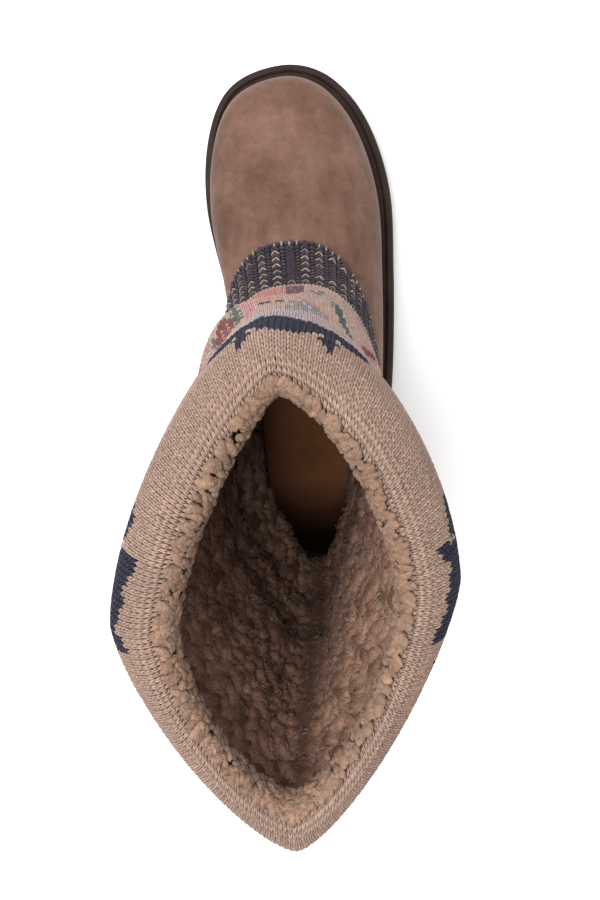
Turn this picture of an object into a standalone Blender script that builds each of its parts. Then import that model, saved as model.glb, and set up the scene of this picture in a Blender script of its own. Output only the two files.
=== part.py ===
"""A right-foot slouch boot: a suede foot part on a moulded sole, a ribbed ankle band and a knitted, fleece-lined shaft.

Metres, +Z up. The toe points to -Y, the big toe is on the +X side, and the floor is Z = 0. The origin is on the floor,
in the middle of the heel's flat.

The whole upper follows one form, a loft of closed sections. Each section lies in a plane through a front point and a
back point, so the first one lies along the sole, the next ones climb over the toe and the vamp, and the last ones
are nearly level rings up the shaft. "Along" is measured from the back of the sole towards the toe. Every wall is that
form, moved out or in by a distance along its own normal.
"""

import math
from typing import NamedTuple

import bpy
import numpy as np

# Driving sizes of the sole
SOLE_LENGTH = 0.272
BALL_INNER = 0.0489  # half width at the ball, from the long axis to the big toe's side
BALL_OUTER = 0.0507
HEEL_THICKNESS = 0.0270
FOREFOOT_THICKNESS = 0.0195
TOE_SPRING = 0.0085
ARCH_RISE = 0.0032
SOLE_EDGE_RADIUS = 0.0022
WALL_GROOVE_DEPTH = 0.0011
HEEL_REST_ALONG = 0.050  # the origin is under this place, in the middle of the heel's flat

# Tread
LUG_GROOVE_WIDTH = 0.0036
LUG_GROOVE_DEPTH = 0.0024
LUG_PITCH = 0.0118
LUG_EDGE_MARGIN = 0.0085

# Driving sizes of the suede foot part
TOE_LEDGE = 0.0085  # how far the sole stands out past the upper, at each side
HEEL_LEDGE = 0.0050
INNER_LEDGE = 0.0052
OUTER_LEDGE = 0.0078
VAMP_HEIGHT = 0.0520  # from the sole's top to the middle of the throat
THROAT_ALONG = 0.177
THROAT_BACK_ALONG = 0.0075
THROAT_INNER = 0.0345
THROAT_OUTER = 0.0365
THROAT_LEAN = 0.0040
UPPER_WALL = 0.0030

# Driving sizes of the ankle band and the shaft
BOOT_HEIGHT = 0.320
CUFF_FRONT_ALONG = 0.1410
CUFF_BACK_ALONG = -0.0206
CUFF_INNER = 0.0525
CUFF_OUTER = 0.0518
CUFF_INNER_SET = 0.0065  # how far the widest point lies behind the middle of the cuff, at each side
CUFF_OUTER_SET = 0.0000
CUFF_FRONT_LEAN = 0.0010
CUFF_BACK_LEAN = 0.0068
CUFF_FRONT_SKEW = 0.12  # how much fuller the outer side is than the inner one, in front and behind
CUFF_BACK_SKEW = -0.01
FOLD_LEAN = 0.0025  # how far the slouched fold's front lies towards the inner side
CUFF_ROLL = 0.0160  # from the cuff's widest ring inwards to its lip
LIP_SHIFT = 0.0012  # how far the lip lies towards the outer side
KNIT_WALL = 0.0030
LINING_WALL = 0.0055

# Insole
INSOLE_THICKNESS = 0.0048
INSOLE_EDGE_RADIUS = 0.0012

GAP = 0.0004  # clearance between the pieces that lie on the sole
LAP_GAP = 0.0006  # clearance between the walls that lap over each other
AROUND = 48  # points round each section

SUEDE_TOP_LEVEL = 7.62
BAND_LOW_LEVEL = 7.0
BAND_HIGH_LEVEL = 9.0
LINING_LOW_LEVEL = 7.70


class Outline(NamedTuple):
    """Half widths at one turn round the foot, as shares of the widest, from 0 at the toe to 180 at the heel."""

    turn: float
    inner: float
    outer: float


FOOT_OUTLINE = [
    Outline(0, 0.000, 0.000),
    Outline(20, 0.593, 0.465),
    Outline(40, 0.896, 0.815),
    Outline(60, 1.000, 1.000),
    Outline(80, 0.878, 0.980),
    Outline(100, 0.735, 0.905),
    Outline(120, 0.710, 0.784),
    Outline(140, 0.680, 0.695),
    Outline(160, 0.450, 0.440),
    Outline(180, 0.000, 0.000),
]


class VampRow(NamedTuple):
    """One section of the foot part.

    front and back run from 0 at the upper's own toe or heel to 1 at the throat line's front or back; up is a share of
    VAMP_HEIGHT; inner and outer run from 0, the feather line's half width, to 1, the throat's. foot is how much of the
    foot's outline the section keeps, and follow how much it bends along the sole's top.
    """

    front: float
    back: float
    front_up: float
    back_up: float
    inner: float
    outer: float
    square: float
    foot: float
    follow: float


VAMP_ROWS = [
    VampRow(0.000, 0.00, 0.00, 0.00, 0.00, 0.00, 2.3, 1.00, 1.00),
    VampRow(-0.008, -0.55, 0.15, 0.18, -0.06, -0.08, 2.3, 1.00, 0.96),
    VampRow(0.014, -0.90, 0.36, 0.38, -0.06, -0.10, 2.3, 1.00, 0.80),
    VampRow(0.085, -0.75, 0.545, 0.55, 0.05, 0.02, 2.4, 0.92, 0.60),
    VampRow(0.250, -0.30, 0.690, 0.69, 0.32, 0.28, 2.5, 0.75, 0.40),
    VampRow(0.500, 0.20, 0.805, 0.80, 0.62, 0.58, 2.6, 0.50, 0.22),
    VampRow(0.750, 0.65, 0.900, 0.91, 0.85, 0.82, 2.75, 0.25, 0.10),
    VampRow(1.000, 1.00, 1.000, 1.00, 1.00, 1.00, 2.85, 0.10, 0.00),
]


class ShaftRow(NamedTuple):
    """One section of the shaft.

    Up is a share of the height from the throat to the base of the cuff's roll. front, back, inner and outer run from
    0, as the throat line has them, to 1, as the cuff's widest ring has them. The squares say how full the front and
    back are, lean how much of FOLD_LEAN the front takes, and wall is the lining's thickness as a share of
    LINING_WALL.
    """

    front_up: float
    back_up: float
    front: float
    back: float
    inner: float
    outer: float
    front_square: float
    back_square: float
    lean: float
    wall: float


SHAFT_ROWS = [
    ShaftRow(0.035, 0.050, 0.36, -0.05, -0.02, -0.03, 2.80, 2.20, 0.00, 1.0),
    ShaftRow(0.092, 0.100, 0.66, -0.12, -0.03, -0.05, 2.80, 2.20, 0.00, 1.2),
    ShaftRow(0.158, 0.150, 0.82, -0.18, -0.32, -0.40, 2.70, 2.10, 0.05, 2.0),
    ShaftRow(0.235, 0.215, 0.93, -0.12, -0.14, -0.16, 2.60, 2.10, 0.15, 1.8),
    ShaftRow(0.305, 0.285, 0.80, 0.03, 0.12, 0.05, 2.60, 2.00, 0.30, 1.2),
    ShaftRow(0.375, 0.350, 0.93, 0.10, -0.08, -0.10, 2.60, 2.00, 0.60, 1.4),
    ShaftRow(0.470, 0.450, 0.80, 0.25, 0.06, 0.08, 3.00, 1.85, 1.00, 1.1),
    ShaftRow(0.545, 0.525, 0.90, 0.27, -0.02, 0.02, 2.40, 1.75, 0.60, 1.3),
    ShaftRow(0.640, 0.630, 0.98, 0.36, 0.18, 0.18, 2.05, 1.65, 0.25, 1.1),
    ShaftRow(0.735, 0.730, 1.01, 0.50, 0.36, 0.36, 1.82, 1.52, 0.10, 1.1),
    ShaftRow(0.820, 0.815, 0.96, 0.68, 0.60, 0.58, 1.71, 1.44, 0.00, 1.4),
    ShaftRow(0.895, 0.890, 0.93, 0.89, 0.87, 0.86, 1.66, 1.37, 0.00, 1.8),
    ShaftRow(0.960, 0.955, 0.98, 1.00, 1.00, 1.00, 1.62, 1.31, 0.00, 2.2),
]


class RollRow(NamedTuple):
    """One ring of the cuff's soft roll.

    up is its height above the shaft and inset how far in it lies, as shares of CUFF_ROLL; cover is the share of the
    knit's thickness that lies outside it, and the squares are added to the section's front and back squares.
    """

    up: float
    inset: float
    cover: float
    front_square: float
    back_square: float


ROLL_ROWS = [
    RollRow(0.20, 0.10, 0.95, 0.00, 0.00),
    RollRow(0.58, 0.27, 0.75, -0.03, 0.04),
    RollRow(0.83, 0.52, 0.50, -0.08, 0.10),
    RollRow(0.84, 0.76, 0.25, -0.13, 0.18),
    RollRow(0.62, 0.93, 0.10, -0.18, 0.22),
    RollRow(0.28, 0.98, 0.00, -0.20, 0.25),
]
ROLL_CREST = max(ROLL_ROWS, key=lambda row: row.up)


class Section(NamedTuple):
    """A closed section of the form, in metres and shares, ready to be drawn or blended with the next."""

    front_along: float
    front_up: float
    back_along: float
    back_up: float
    inner: float
    outer: float
    front_lean: float
    back_lean: float
    inner_set: float
    outer_set: float
    front_square: float
    back_square: float
    front_skew: float
    back_skew: float
    foot: float
    follow: float
    lining: float
    cover: float


class WallRow(NamedTuple):
    """One ring of the sole's side: its height as a share of the local thickness, and how far in it lies."""

    up: float
    inset: float


SOLE_WALL_ROWS = [
    WallRow(0.00, SOLE_EDGE_RADIUS),
    WallRow(0.05, 0.35 * SOLE_EDGE_RADIUS),
    WallRow(0.11, 0.0),
    WallRow(0.30, 0.0),
    WallRow(0.33, WALL_GROOVE_DEPTH),
    WallRow(0.39, WALL_GROOVE_DEPTH),
    WallRow(0.42, 0.0),
    WallRow(0.66, -0.0004),
    WallRow(0.90, 0.0),
    WallRow(0.97, 0.35 * SOLE_EDGE_RADIUS),
    WallRow(1.00, SOLE_EDGE_RADIUS),
]


class HeightRow(NamedTuple):
    """A height of the sole at one place along it; along is a share of SOLE_LENGTH, and the columns are shares.

    top runs from 0 at the forefoot's top to 1 at the heel's; toe and arch are shares of TOE_SPRING and ARCH_RISE.
    """

    along: float
    top: float
    toe: float
    arch: float


SOLE_HEIGHTS = [
    HeightRow(0.000, 1.04, 0.00, 0.90),
    HeightRow(0.045, 1.01, 0.00, 0.00),
    HeightRow(0.160, 0.98, 0.00, 0.00),
    HeightRow(0.310, 0.82, 0.00, 0.00),
    HeightRow(0.370, 0.68, 0.00, 0.80),
    HeightRow(0.430, 0.50, 0.00, 1.00),
    HeightRow(0.490, 0.30, 0.00, 0.00),
    HeightRow(0.640, 0.00, 0.00, 0.00),
    HeightRow(0.755, -0.04, 0.00, 0.00),
    HeightRow(0.860, 0.00, 0.26, 0.00),
    HeightRow(0.940, 0.04, 0.66, 0.00),
    HeightRow(1.000, 0.08, 1.00, 0.00),
]

COLOURS = {
    "sole": ((0.050, 0.034, 0.026, 1.0), 0.62),
    "insole": ((0.190, 0.105, 0.058, 1.0), 0.90),
    "suede": ((0.270, 0.165, 0.115, 1.0), 0.92),
    "rib": ((0.055, 0.058, 0.090, 1.0), 0.95),
    "knit": ((0.430, 0.300, 0.215, 1.0), 0.95),
}


def clear_scene():
    """Removes every object that the startup scene holds."""
    for obj in list(bpy.data.objects):
        bpy.data.objects.remove(obj)


def mix(start, end, share):
    """The value that lies a share of the way from start to end."""
    return start + (end - start) * share


def catmull_rom(before, start, end, after, share):
    """A smooth value between start and end, aware of the values on both sides of them."""
    slope_in = 0.5 * (end - before)
    slope_out = 0.5 * (after - start)
    cubic = 2 * start - 2 * end + slope_in + slope_out
    square = 3 * end - 3 * start - 2 * slope_in - slope_out
    return ((cubic * share + square) * share + slope_in) * share + start


def steady_curve(along, column):
    """A smooth curve through one column of SOLE_HEIGHTS that never passes beyond its rows' values."""
    places = np.array([row.along for row in SOLE_HEIGHTS]) * SOLE_LENGTH
    values = np.array([getattr(row, column) for row in SOLE_HEIGHTS])
    rise = np.diff(values) / np.diff(places)
    before, after = rise[:-1], rise[1:]
    rising = before * after > 0
    slope = np.zeros(len(values))
    slope[1:-1][rising] = 2 * before[rising] * after[rising] / (before + after)[rising]
    place = np.clip(np.searchsorted(places, along, side="right") - 1, 0, len(places) - 2)
    span = places[place + 1] - places[place]
    share = np.clip((along - places[place]) / span, 0, 1)
    start, end = values[place], values[place + 1]
    slope_in, slope_out = slope[place] * span, slope[place + 1] * span
    cubic = 2 * (start - end) + slope_in + slope_out
    square = 3 * (end - start) - 2 * slope_in - slope_out
    return ((cubic * share + square) * share + slope_in) * share + start


def sole_heights(along):
    """The sole's top and bottom height at a distance along it."""
    spring = steady_curve(along, "toe") * TOE_SPRING
    arch = steady_curve(along, "arch") * ARCH_RISE
    top = mix(FOREFOOT_THICKNESS, HEEL_THICKNESS, steady_curve(along, "top")) + spring
    return top, spring + arch


def outline_share(turn, side):
    """The foot outline's half width at a turn in degrees, as a share, through its table's points."""
    step = FOOT_OUTLINE[1].turn
    table = [getattr(row, side) for row in FOOT_OUTLINE]
    table = [-table[1], *table, -table[-2]]
    place = min(int(turn / step), len(FOOT_OUTLINE) - 2)
    return catmull_rom(*table[place : place + 4], turn / step - place)


def outline_points(front_along, back_along, inner, outer):
    """The foot's outline as AROUND rows of (across, along), from the toe, round the inner side to the heel and back."""
    points = []
    for step in range(AROUND):
        turn = 360.0 * step / AROUND
        side = "inner" if turn <= 180 else "outer"
        width = inner if turn <= 180 else -outer
        share = outline_share(min(turn, 360 - turn), side)
        along = mix(back_along, front_along, 0.5 + 0.5 * math.cos(math.radians(turn)))
        points.append((width * share, along))
    return np.array(points)


def inset_outline(points, distance):
    """The outline moved inwards by a distance, at right angles to itself."""
    tangent = np.roll(points, -1, axis=0) - np.roll(points, 1, axis=0)
    tangent /= np.linalg.norm(tangent, axis=1)[:, None]
    inwards = np.stack([tangent[:, 1], -tangent[:, 0]], axis=1)
    return points + inwards * distance


def feather_section():
    """The upper's lowest section, where it meets the sole."""
    front = SOLE_LENGTH - TOE_LEDGE
    return Section(
        front, sole_heights(front)[0], HEEL_LEDGE, sole_heights(HEEL_LEDGE)[0],
        BALL_INNER - INNER_LEDGE, BALL_OUTER - OUTER_LEDGE, 0, 0, 0, 0, 2, 2, 0, 0, 1, 1, 0, 1,
    )


def throat_section():
    """The section that the suede's top edge and the ankle band's low edge lie near."""
    low = FOREFOOT_THICKNESS
    return Section(
        THROAT_ALONG, mix(low, HEEL_THICKNESS, 0.5) + VAMP_HEIGHT + 0.004,
        THROAT_BACK_ALONG, HEEL_THICKNESS + VAMP_HEIGHT,
        THROAT_INNER, THROAT_OUTER, THROAT_LEAN, 0, 0, 0, 2.8, 2.2, 0, 0, 0, 0, 1, 1,
    )


def vamp_section(row):
    """A section between the feather line and the throat."""
    feather, throat = feather_section(), throat_section()
    return Section(
        mix(feather.front_along, throat.front_along, row.front),
        mix(feather.front_up, throat.front_up, row.front_up),
        mix(feather.back_along, throat.back_along, row.back),
        mix(feather.back_up, throat.back_up, row.back_up),
        mix(feather.inner, throat.inner, row.inner),
        mix(feather.outer, throat.outer, row.outer),
        THROAT_LEAN * max(row.front, 0), 0, 0, 0,
        row.square, 2.2, 0, 0, row.foot, row.follow, 1, 1,
    )


def roll_height(up):
    """The height of the form at a share of the cuff's roll, so that the knit's crest ends at BOOT_HEIGHT."""
    return BOOT_HEIGHT - (LAP_GAP + KNIT_WALL) * ROLL_CREST.cover - CUFF_ROLL * (ROLL_CREST.up - up)


def shaft_section(row):
    """A section between the throat and the cuff's widest ring."""
    throat = throat_section()
    top = roll_height(0)
    return Section(
        mix(throat.front_along, CUFF_FRONT_ALONG, row.front),
        mix(throat.front_up, top, row.front_up),
        mix(throat.back_along, CUFF_BACK_ALONG, row.back),
        mix(throat.back_up, top, row.back_up),
        mix(throat.inner, CUFF_INNER, row.inner),
        mix(throat.outer, CUFF_OUTER, row.outer),
        mix(THROAT_LEAN, CUFF_FRONT_LEAN, row.front_up) + FOLD_LEAN * row.lean,
        mix(0, CUFF_BACK_LEAN, row.back_up),
        CUFF_INNER_SET * row.front_up, CUFF_OUTER_SET * row.front_up,
        row.front_square, row.back_square,
        CUFF_FRONT_SKEW * row.front_up, CUFF_BACK_SKEW * row.back_up, 0, 0, row.wall, 1,
    )


def roll_section(row):
    """A section of the cuff's roll, above the shaft's last one."""
    base = drawn_in(shaft_section(SHAFT_ROWS[-1]), CUFF_ROLL * row.inset)
    shift = LIP_SHIFT * row.inset
    return base._replace(
        front_up=roll_height(row.up), back_up=roll_height(row.up),
        front_lean=base.front_lean - shift, back_lean=base.back_lean - shift,
        front_square=base.front_square + row.front_square, back_square=base.back_square + row.back_square,
        cover=row.cover,
    )


def drawn_in(section, distance):
    """The section made smaller by a distance at its front, back and both sides."""
    return section._replace(
        front_along=section.front_along - distance, back_along=section.back_along + distance,
        inner=section.inner - distance, outer=section.outer - distance,
    )


def whole_form():
    """Every section of the form in order, from the feather line to the lip of the cuff."""
    form = [vamp_section(row) for row in VAMP_ROWS]
    form += [shaft_section(row) for row in SHAFT_ROWS]
    form += [roll_section(row) for row in ROLL_ROWS]
    return form


def section_at(form, level):
    """The form's section at a level, where a whole number is a row of the tables."""
    place = min(max(int(math.floor(level)), 0), len(form) - 2)
    near = [form[min(max(place + step, 0), len(form) - 1)] for step in (-1, 0, 1, 2)]
    return Section(*[catmull_rom(*column, level - place) for column in zip(*near)])


def section_points(section):
    """A section's AROUND points in the row frame, from the front, round the inner side to the back and home."""
    points = np.zeros((AROUND, 3))
    for step in range(AROUND):
        turn = 2 * math.pi * step / AROUND
        inner_side = turn <= math.pi
        width = section.inner if inner_side else -section.outer
        square, skew = section.front_square, section.front_skew
        if math.cos(turn) < 0:
            square, skew = section.back_square, section.back_skew
        square += -skew if inner_side else skew
        round_share = math.copysign(abs(math.cos(turn)) ** (2 / square), math.cos(turn))
        round_width = abs(math.sin(turn)) ** (2 / square)
        degrees = math.degrees(turn)
        foot_width = outline_share(min(degrees, 360 - degrees), "inner" if inner_side else "outer")
        share = 0.5 + 0.5 * mix(round_share, math.cos(turn), section.foot)
        set_back = (section.inner_set if inner_side else section.outer_set) * math.sin(turn) ** 2
        along = mix(section.back_along, section.front_along, share) - set_back
        chord = mix(section.back_up, section.front_up, share)
        feather = feather_section()
        seat = sole_heights(along)[0] - mix(feather.back_up, feather.front_up, share)
        points[step] = (
            width * mix(round_width, foot_width, section.foot)
            + mix(section.back_lean, section.front_lean, share),
            HEEL_REST_ALONG - along,
            chord + seat * section.follow,
        )
    return points


def surface_ring(form, level, offset):
    """One ring of the form's surface, moved outwards along its normal."""
    step = 0.02
    top = len(form) - 1
    points = section_points(section_at(form, level))
    above = section_points(section_at(form, min(level + step, top)))
    below = section_points(section_at(form, max(level - step, 0)))
    around = np.roll(points, -1, axis=0) - np.roll(points, 1, axis=0)
    normal = np.cross(around, above - below)
    normal /= np.maximum(np.linalg.norm(normal, axis=1), 1e-12)[:, None]
    return points + normal * offset


def levels_between(low, high, per_row=1.0):
    """Evenly spaced levels from low to high, with about per_row of them for each row of the tables."""
    count = max(2, round(abs(high - low) * per_row) + 1)
    return list(np.linspace(low, high, count))


def mesh_object(name, points, faces, finish, collection):
    """A mesh object in its collection, with its own material."""
    mesh = bpy.data.meshes.new(name)
    mesh.from_pydata([tuple(point) for point in points], [], faces)
    mesh.update()
    obj = bpy.data.objects.new(name, mesh)
    collection.objects.link(obj)
    obj.data.materials.append(finish)
    obj.data.shade_smooth()
    return obj


def strip_faces(rows, closed):
    """Quads between neighbouring rings of AROUND points; closed joins the last ring to the first."""
    faces = []
    for row in range(rows if closed else rows - 1):
        following = (row + 1) % rows
        for step in range(AROUND):
            beside = (step + 1) % AROUND
            faces.append((
                row * AROUND + step, row * AROUND + beside,
                following * AROUND + beside, following * AROUND + step,
            ))
    return faces


def cap_faces(row, upwards):
    """Faces across one ring, in strips that join the points at the same place along on the two sides."""
    start = row * AROUND
    half = AROUND // 2
    faces = [(start, start + 1, start + AROUND - 1)]
    for step in range(1, half - 1):
        faces.append((start + step, start + step + 1, start + AROUND - step - 1, start + AROUND - step))
    faces.append((start + half - 1, start + half, start + half + 1))
    return faces if upwards else [face[::-1] for face in faces]


def wall_object(name, rings, finish, collection):
    """A hollow wall: a closed loop of rings, up the outside and down the inside."""
    points = np.concatenate(rings)
    return mesh_object(name, points, strip_faces(len(rings), closed=True), finish, collection)


def plate_object(name, rings, finish, collection):
    """A solid plate: rings from the underside to the top, with both ends closed."""
    points = np.concatenate(rings)
    faces = strip_faces(len(rings), closed=False)
    faces += cap_faces(0, upwards=False)
    faces += cap_faces(len(rings) - 1, upwards=True)
    return mesh_object(name, points, faces, finish, collection)


def finish_material(name):
    """A Principled material with the colour and roughness of one finish."""
    colour, roughness = COLOURS[name]
    material = bpy.data.materials.new(name)
    material.use_nodes = True
    shader = material.node_tree.nodes["Principled BSDF"]
    shader.inputs["Base Color"].default_value = colour
    shader.inputs["Roughness"].default_value = roughness
    material.diffuse_color = colour
    return material


def placed_outline(outline, heights):
    """An outline's (across, along) points at their heights, in the row frame."""
    return np.stack([outline[:, 0], HEEL_REST_ALONG - outline[:, 1], heights], axis=1)


def sole_outline():
    """The sole's outermost outline."""
    return outline_points(SOLE_LENGTH, 0, BALL_INNER, BALL_OUTER)


def make_outsole(collection, cutters):
    """The moulded sole: side wall with a groove, toe spring and arch, and lugs cut by cross grooves."""
    rings = []
    for row in SOLE_WALL_ROWS:
        ring = inset_outline(sole_outline(), row.inset)
        top, bottom = sole_heights(ring[:, 1])
        rings.append(placed_outline(ring, mix(bottom, top, row.up)))
    sole = plate_object("outsole", rings, finish_material("sole"), collection)
    for number, along in enumerate(groove_places()):
        cutter = groove_cutter(number, along, cutters)
        cut = sole.modifiers.new(cutter.name, "BOOLEAN")
        cut.operation = "DIFFERENCE"
        cut.object = cutter
    return sole


def groove_places():
    """Where the tread's cross grooves lie: in the heel and in the forefoot, clear of the arch."""
    heel = np.arange(0.075 * SOLE_LENGTH, 0.30 * SOLE_LENGTH, LUG_PITCH)
    forefoot = np.arange(0.53 * SOLE_LENGTH, 0.93 * SOLE_LENGTH, LUG_PITCH)
    return [*heel, *forefoot]


def half_widths_at(along):
    """The sole's inner and outer half width at a place along it."""
    outline = sole_outline()
    half = AROUND // 2
    inner = outline[: half + 1]
    outer = np.concatenate([outline[half:], outline[:1]])
    return (
        np.interp(along, inner[::-1, 1], inner[::-1, 0]),
        -np.interp(along, outer[:, 1], outer[:, 0]),
    )


def groove_cutter(number, along, collection):
    """A bar as long as the sole's width there, less its margins, that reaches up into the tread."""
    inner, outer = half_widths_at(along)
    length = inner + outer - 2 * LUG_EDGE_MARGIN
    under = 0.01
    floor = sole_heights(along)[1]
    bpy.ops.mesh.primitive_cube_add(size=1)
    bar = bpy.context.object
    bar.name = f"groove_{number:02d}"
    bar.data.transform(_scaling(length, LUG_GROOVE_WIDTH, LUG_GROOVE_DEPTH + under))
    bar.location = (
        (inner - outer) / 2, HEEL_REST_ALONG - along, floor + (LUG_GROOVE_DEPTH - under) / 2,
    )
    bar.hide_render = True
    bar.display_type = "WIRE"
    for owner in list(bar.users_collection):
        owner.objects.unlink(bar)
    collection.objects.link(bar)
    return bar


def _scaling(across, along, up):
    """A 4 by 4 matrix that scales along the three axes."""
    return ((across, 0, 0, 0), (0, along, 0, 0), (0, 0, up, 0), (0, 0, 0, 1))


def make_insole(collection, form):
    """The footbed: a thin plate inside the upper's wall, lying on the sole's top."""
    feather = feather_section()
    edge = outline_points(feather.front_along, feather.back_along, feather.inner, feather.outer)
    rings = []
    for up, inset in (
        (0.0, INSOLE_EDGE_RADIUS), (INSOLE_EDGE_RADIUS, 0.0),
        (INSOLE_THICKNESS - INSOLE_EDGE_RADIUS, 0.0), (INSOLE_THICKNESS, INSOLE_EDGE_RADIUS),
    ):
        ring = inset_outline(edge, UPPER_WALL + GAP + inset)
        heights = sole_heights(ring[:, 1])[0] + GAP + up
        rings.append(placed_outline(ring, heights))
    return plate_object("insole", rings, finish_material("insole"), collection)


def make_upper(collection, form):
    """The suede foot part: one wall from the feather line to the edge that the ankle band covers."""
    outside = [surface_ring(form, level, 0) for level in levels_between(0, SUEDE_TOP_LEVEL, 1.8)]
    inside = [surface_ring(form, level, -UPPER_WALL) for level in levels_between(SUEDE_TOP_LEVEL, 0, 1.5)]
    upper = wall_object("upper", outside + inside, finish_material("suede"), collection)
    seat_on_sole(upper)
    return upper


def seat_on_sole(obj):
    """Lifts the points that would reach into the sole's top, so that the wall stands on it with a small gap."""
    for vertex in obj.data.vertices:
        seat = sole_heights(HEEL_REST_ALONG - vertex.co.y)[0] + GAP
        vertex.co.z = max(vertex.co.z, seat)


def make_ankle_band(collection, form):
    """The ribbed band: a knitted ring that laps over the suede's top edge."""
    levels = levels_between(BAND_LOW_LEVEL, BAND_HIGH_LEVEL, 2.5)
    outside = [surface_ring(form, level, LAP_GAP + KNIT_WALL) for level in levels]
    inside = [surface_ring(form, level, LAP_GAP) for level in reversed(levels)]
    return wall_object("ankle_band", outside + inside, finish_material("rib"), collection)


def make_shaft(collection, form):
    """The knitted shaft with its fleece lining: one wall with a rolled cuff, stepped in behind the ankle band."""
    widest = len(VAMP_ROWS) + len(SHAFT_ROWS) - 1
    lip = len(form) - 1
    low = BAND_HIGH_LEVEL + 0.03
    outside = levels_between(low, widest, 2.8) + levels_between(widest, lip, 1.8)[1:]
    inside = levels_between(widest, LINING_LOW_LEVEL, 1.4)
    rings = []
    for level in outside:
        rings.append(surface_ring(form, level, (LAP_GAP + KNIT_WALL) * section_at(form, level).cover))
    for level in inside:
        section = section_at(form, level)
        rings.append(section_points(drawn_in(section, LINING_WALL * section.lining)))
    for level in levels_between(LINING_LOW_LEVEL, low, 1.5):
        rings.append(surface_ring(form, level, 0))
    return wall_object("shaft", rings, finish_material("knit"), collection)


def main():
    """Builds the boot's pieces in their collection, and the tread's cutters in another."""
    clear_scene()
    boot = bpy.data.collections.new("boot")
    cutters = bpy.data.collections.new("cutters")
    bpy.context.scene.collection.children.link(boot)
    bpy.context.scene.collection.children.link(cutters)
    form = whole_form()
    make_outsole(boot, cutters)
    make_insole(boot, form)
    make_upper(boot, form)
    make_ankle_band(boot, form)
    make_shaft(boot, form)


main()
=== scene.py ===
"""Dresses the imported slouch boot: knitted shaft, fleece lining, ankle band, suede foot part and moulded sole.

Every form follows the same loft as the solids. Lengths are in metres, turns in degrees from the toe round the
inner side to the heel and home, and levels count the loft's sections from the feather line to the lip.
"""

import logging
import math
from dataclasses import dataclass
from enum import Enum
from typing import NamedTuple, Optional, Sequence, Union

import bpy
import numpy as np
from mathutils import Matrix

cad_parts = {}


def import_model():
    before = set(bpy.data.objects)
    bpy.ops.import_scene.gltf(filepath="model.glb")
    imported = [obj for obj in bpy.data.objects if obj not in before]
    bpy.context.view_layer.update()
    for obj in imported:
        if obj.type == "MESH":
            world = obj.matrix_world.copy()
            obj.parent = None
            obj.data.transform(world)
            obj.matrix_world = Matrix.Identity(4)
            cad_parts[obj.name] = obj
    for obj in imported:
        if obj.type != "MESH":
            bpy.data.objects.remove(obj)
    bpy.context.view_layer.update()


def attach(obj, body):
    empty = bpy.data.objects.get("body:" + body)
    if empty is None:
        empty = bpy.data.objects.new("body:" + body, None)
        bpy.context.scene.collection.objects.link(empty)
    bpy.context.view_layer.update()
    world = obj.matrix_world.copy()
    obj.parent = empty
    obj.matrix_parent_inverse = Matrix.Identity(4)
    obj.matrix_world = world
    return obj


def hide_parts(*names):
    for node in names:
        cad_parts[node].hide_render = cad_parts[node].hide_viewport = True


LOG = logging.getLogger("boot")

Colour = tuple[float, float, float]
Array = np.ndarray
Socket = bpy.types.NodeSocket


# ---------------------------------------------------------------- the loft


class Section(NamedTuple):
    """One closed section of the loft: its lengths, heights and leans in metres, then shares that shape it."""

    front_along: float
    front_up: float
    back_along: float
    back_up: float
    inner: float
    outer: float
    front_lean: float
    back_lean: float
    inner_set: float
    outer_set: float
    front_square: float
    back_square: float
    front_skew: float
    back_skew: float
    foot: float
    follow: float
    lining: float
    cover: float


class VampRow(NamedTuple):
    """One section of the foot part.

    front and back run from 0 at the upper's own toe or heel to 1 at the throat line's front or back; up is a
    share of the vamp's height; inner and outer run from 0, the feather line's half width, to 1, the throat's.
    foot is how much of the foot's outline the section keeps, and follow how much it bends along the sole.
    """

    front: float
    back: float
    front_up: float
    back_up: float
    inner: float
    outer: float
    square: float
    foot: float
    follow: float


VAMP_ROWS = [
    VampRow(0.000, 0.00, 0.00, 0.00, 0.00, 0.00, 2.3, 1.00, 1.00),
    VampRow(-0.008, -0.55, 0.15, 0.18, -0.06, -0.08, 2.3, 1.00, 0.96),
    VampRow(0.014, -0.90, 0.36, 0.38, -0.06, -0.10, 2.3, 1.00, 0.80),
    VampRow(0.085, -0.75, 0.545, 0.55, 0.05, 0.02, 2.4, 0.92, 0.60),
    VampRow(0.250, -0.30, 0.690, 0.69, 0.32, 0.28, 2.5, 0.75, 0.40),
    VampRow(0.500, 0.20, 0.805, 0.80, 0.62, 0.58, 2.6, 0.50, 0.22),
    VampRow(0.750, 0.65, 0.900, 0.91, 0.85, 0.82, 2.75, 0.25, 0.10),
    VampRow(1.000, 1.00, 1.000, 1.00, 1.00, 1.00, 2.85, 0.10, 0.00),
]


class ShaftRow(NamedTuple):
    """One section of the shaft.

    up is a share of the height from the throat to the base of the cuff's roll. front, back, inner and outer
    run from 0, as the throat line has them, to 1, as the cuff's widest ring has them. The squares say how
    full the front and back are, lean how much of the fold's lean the front takes, and wall is the lining's
    thickness as a share of its usual one.
    """

    front_up: float
    back_up: float
    front: float
    back: float
    inner: float
    outer: float
    front_square: float
    back_square: float
    lean: float
    wall: float


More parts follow.
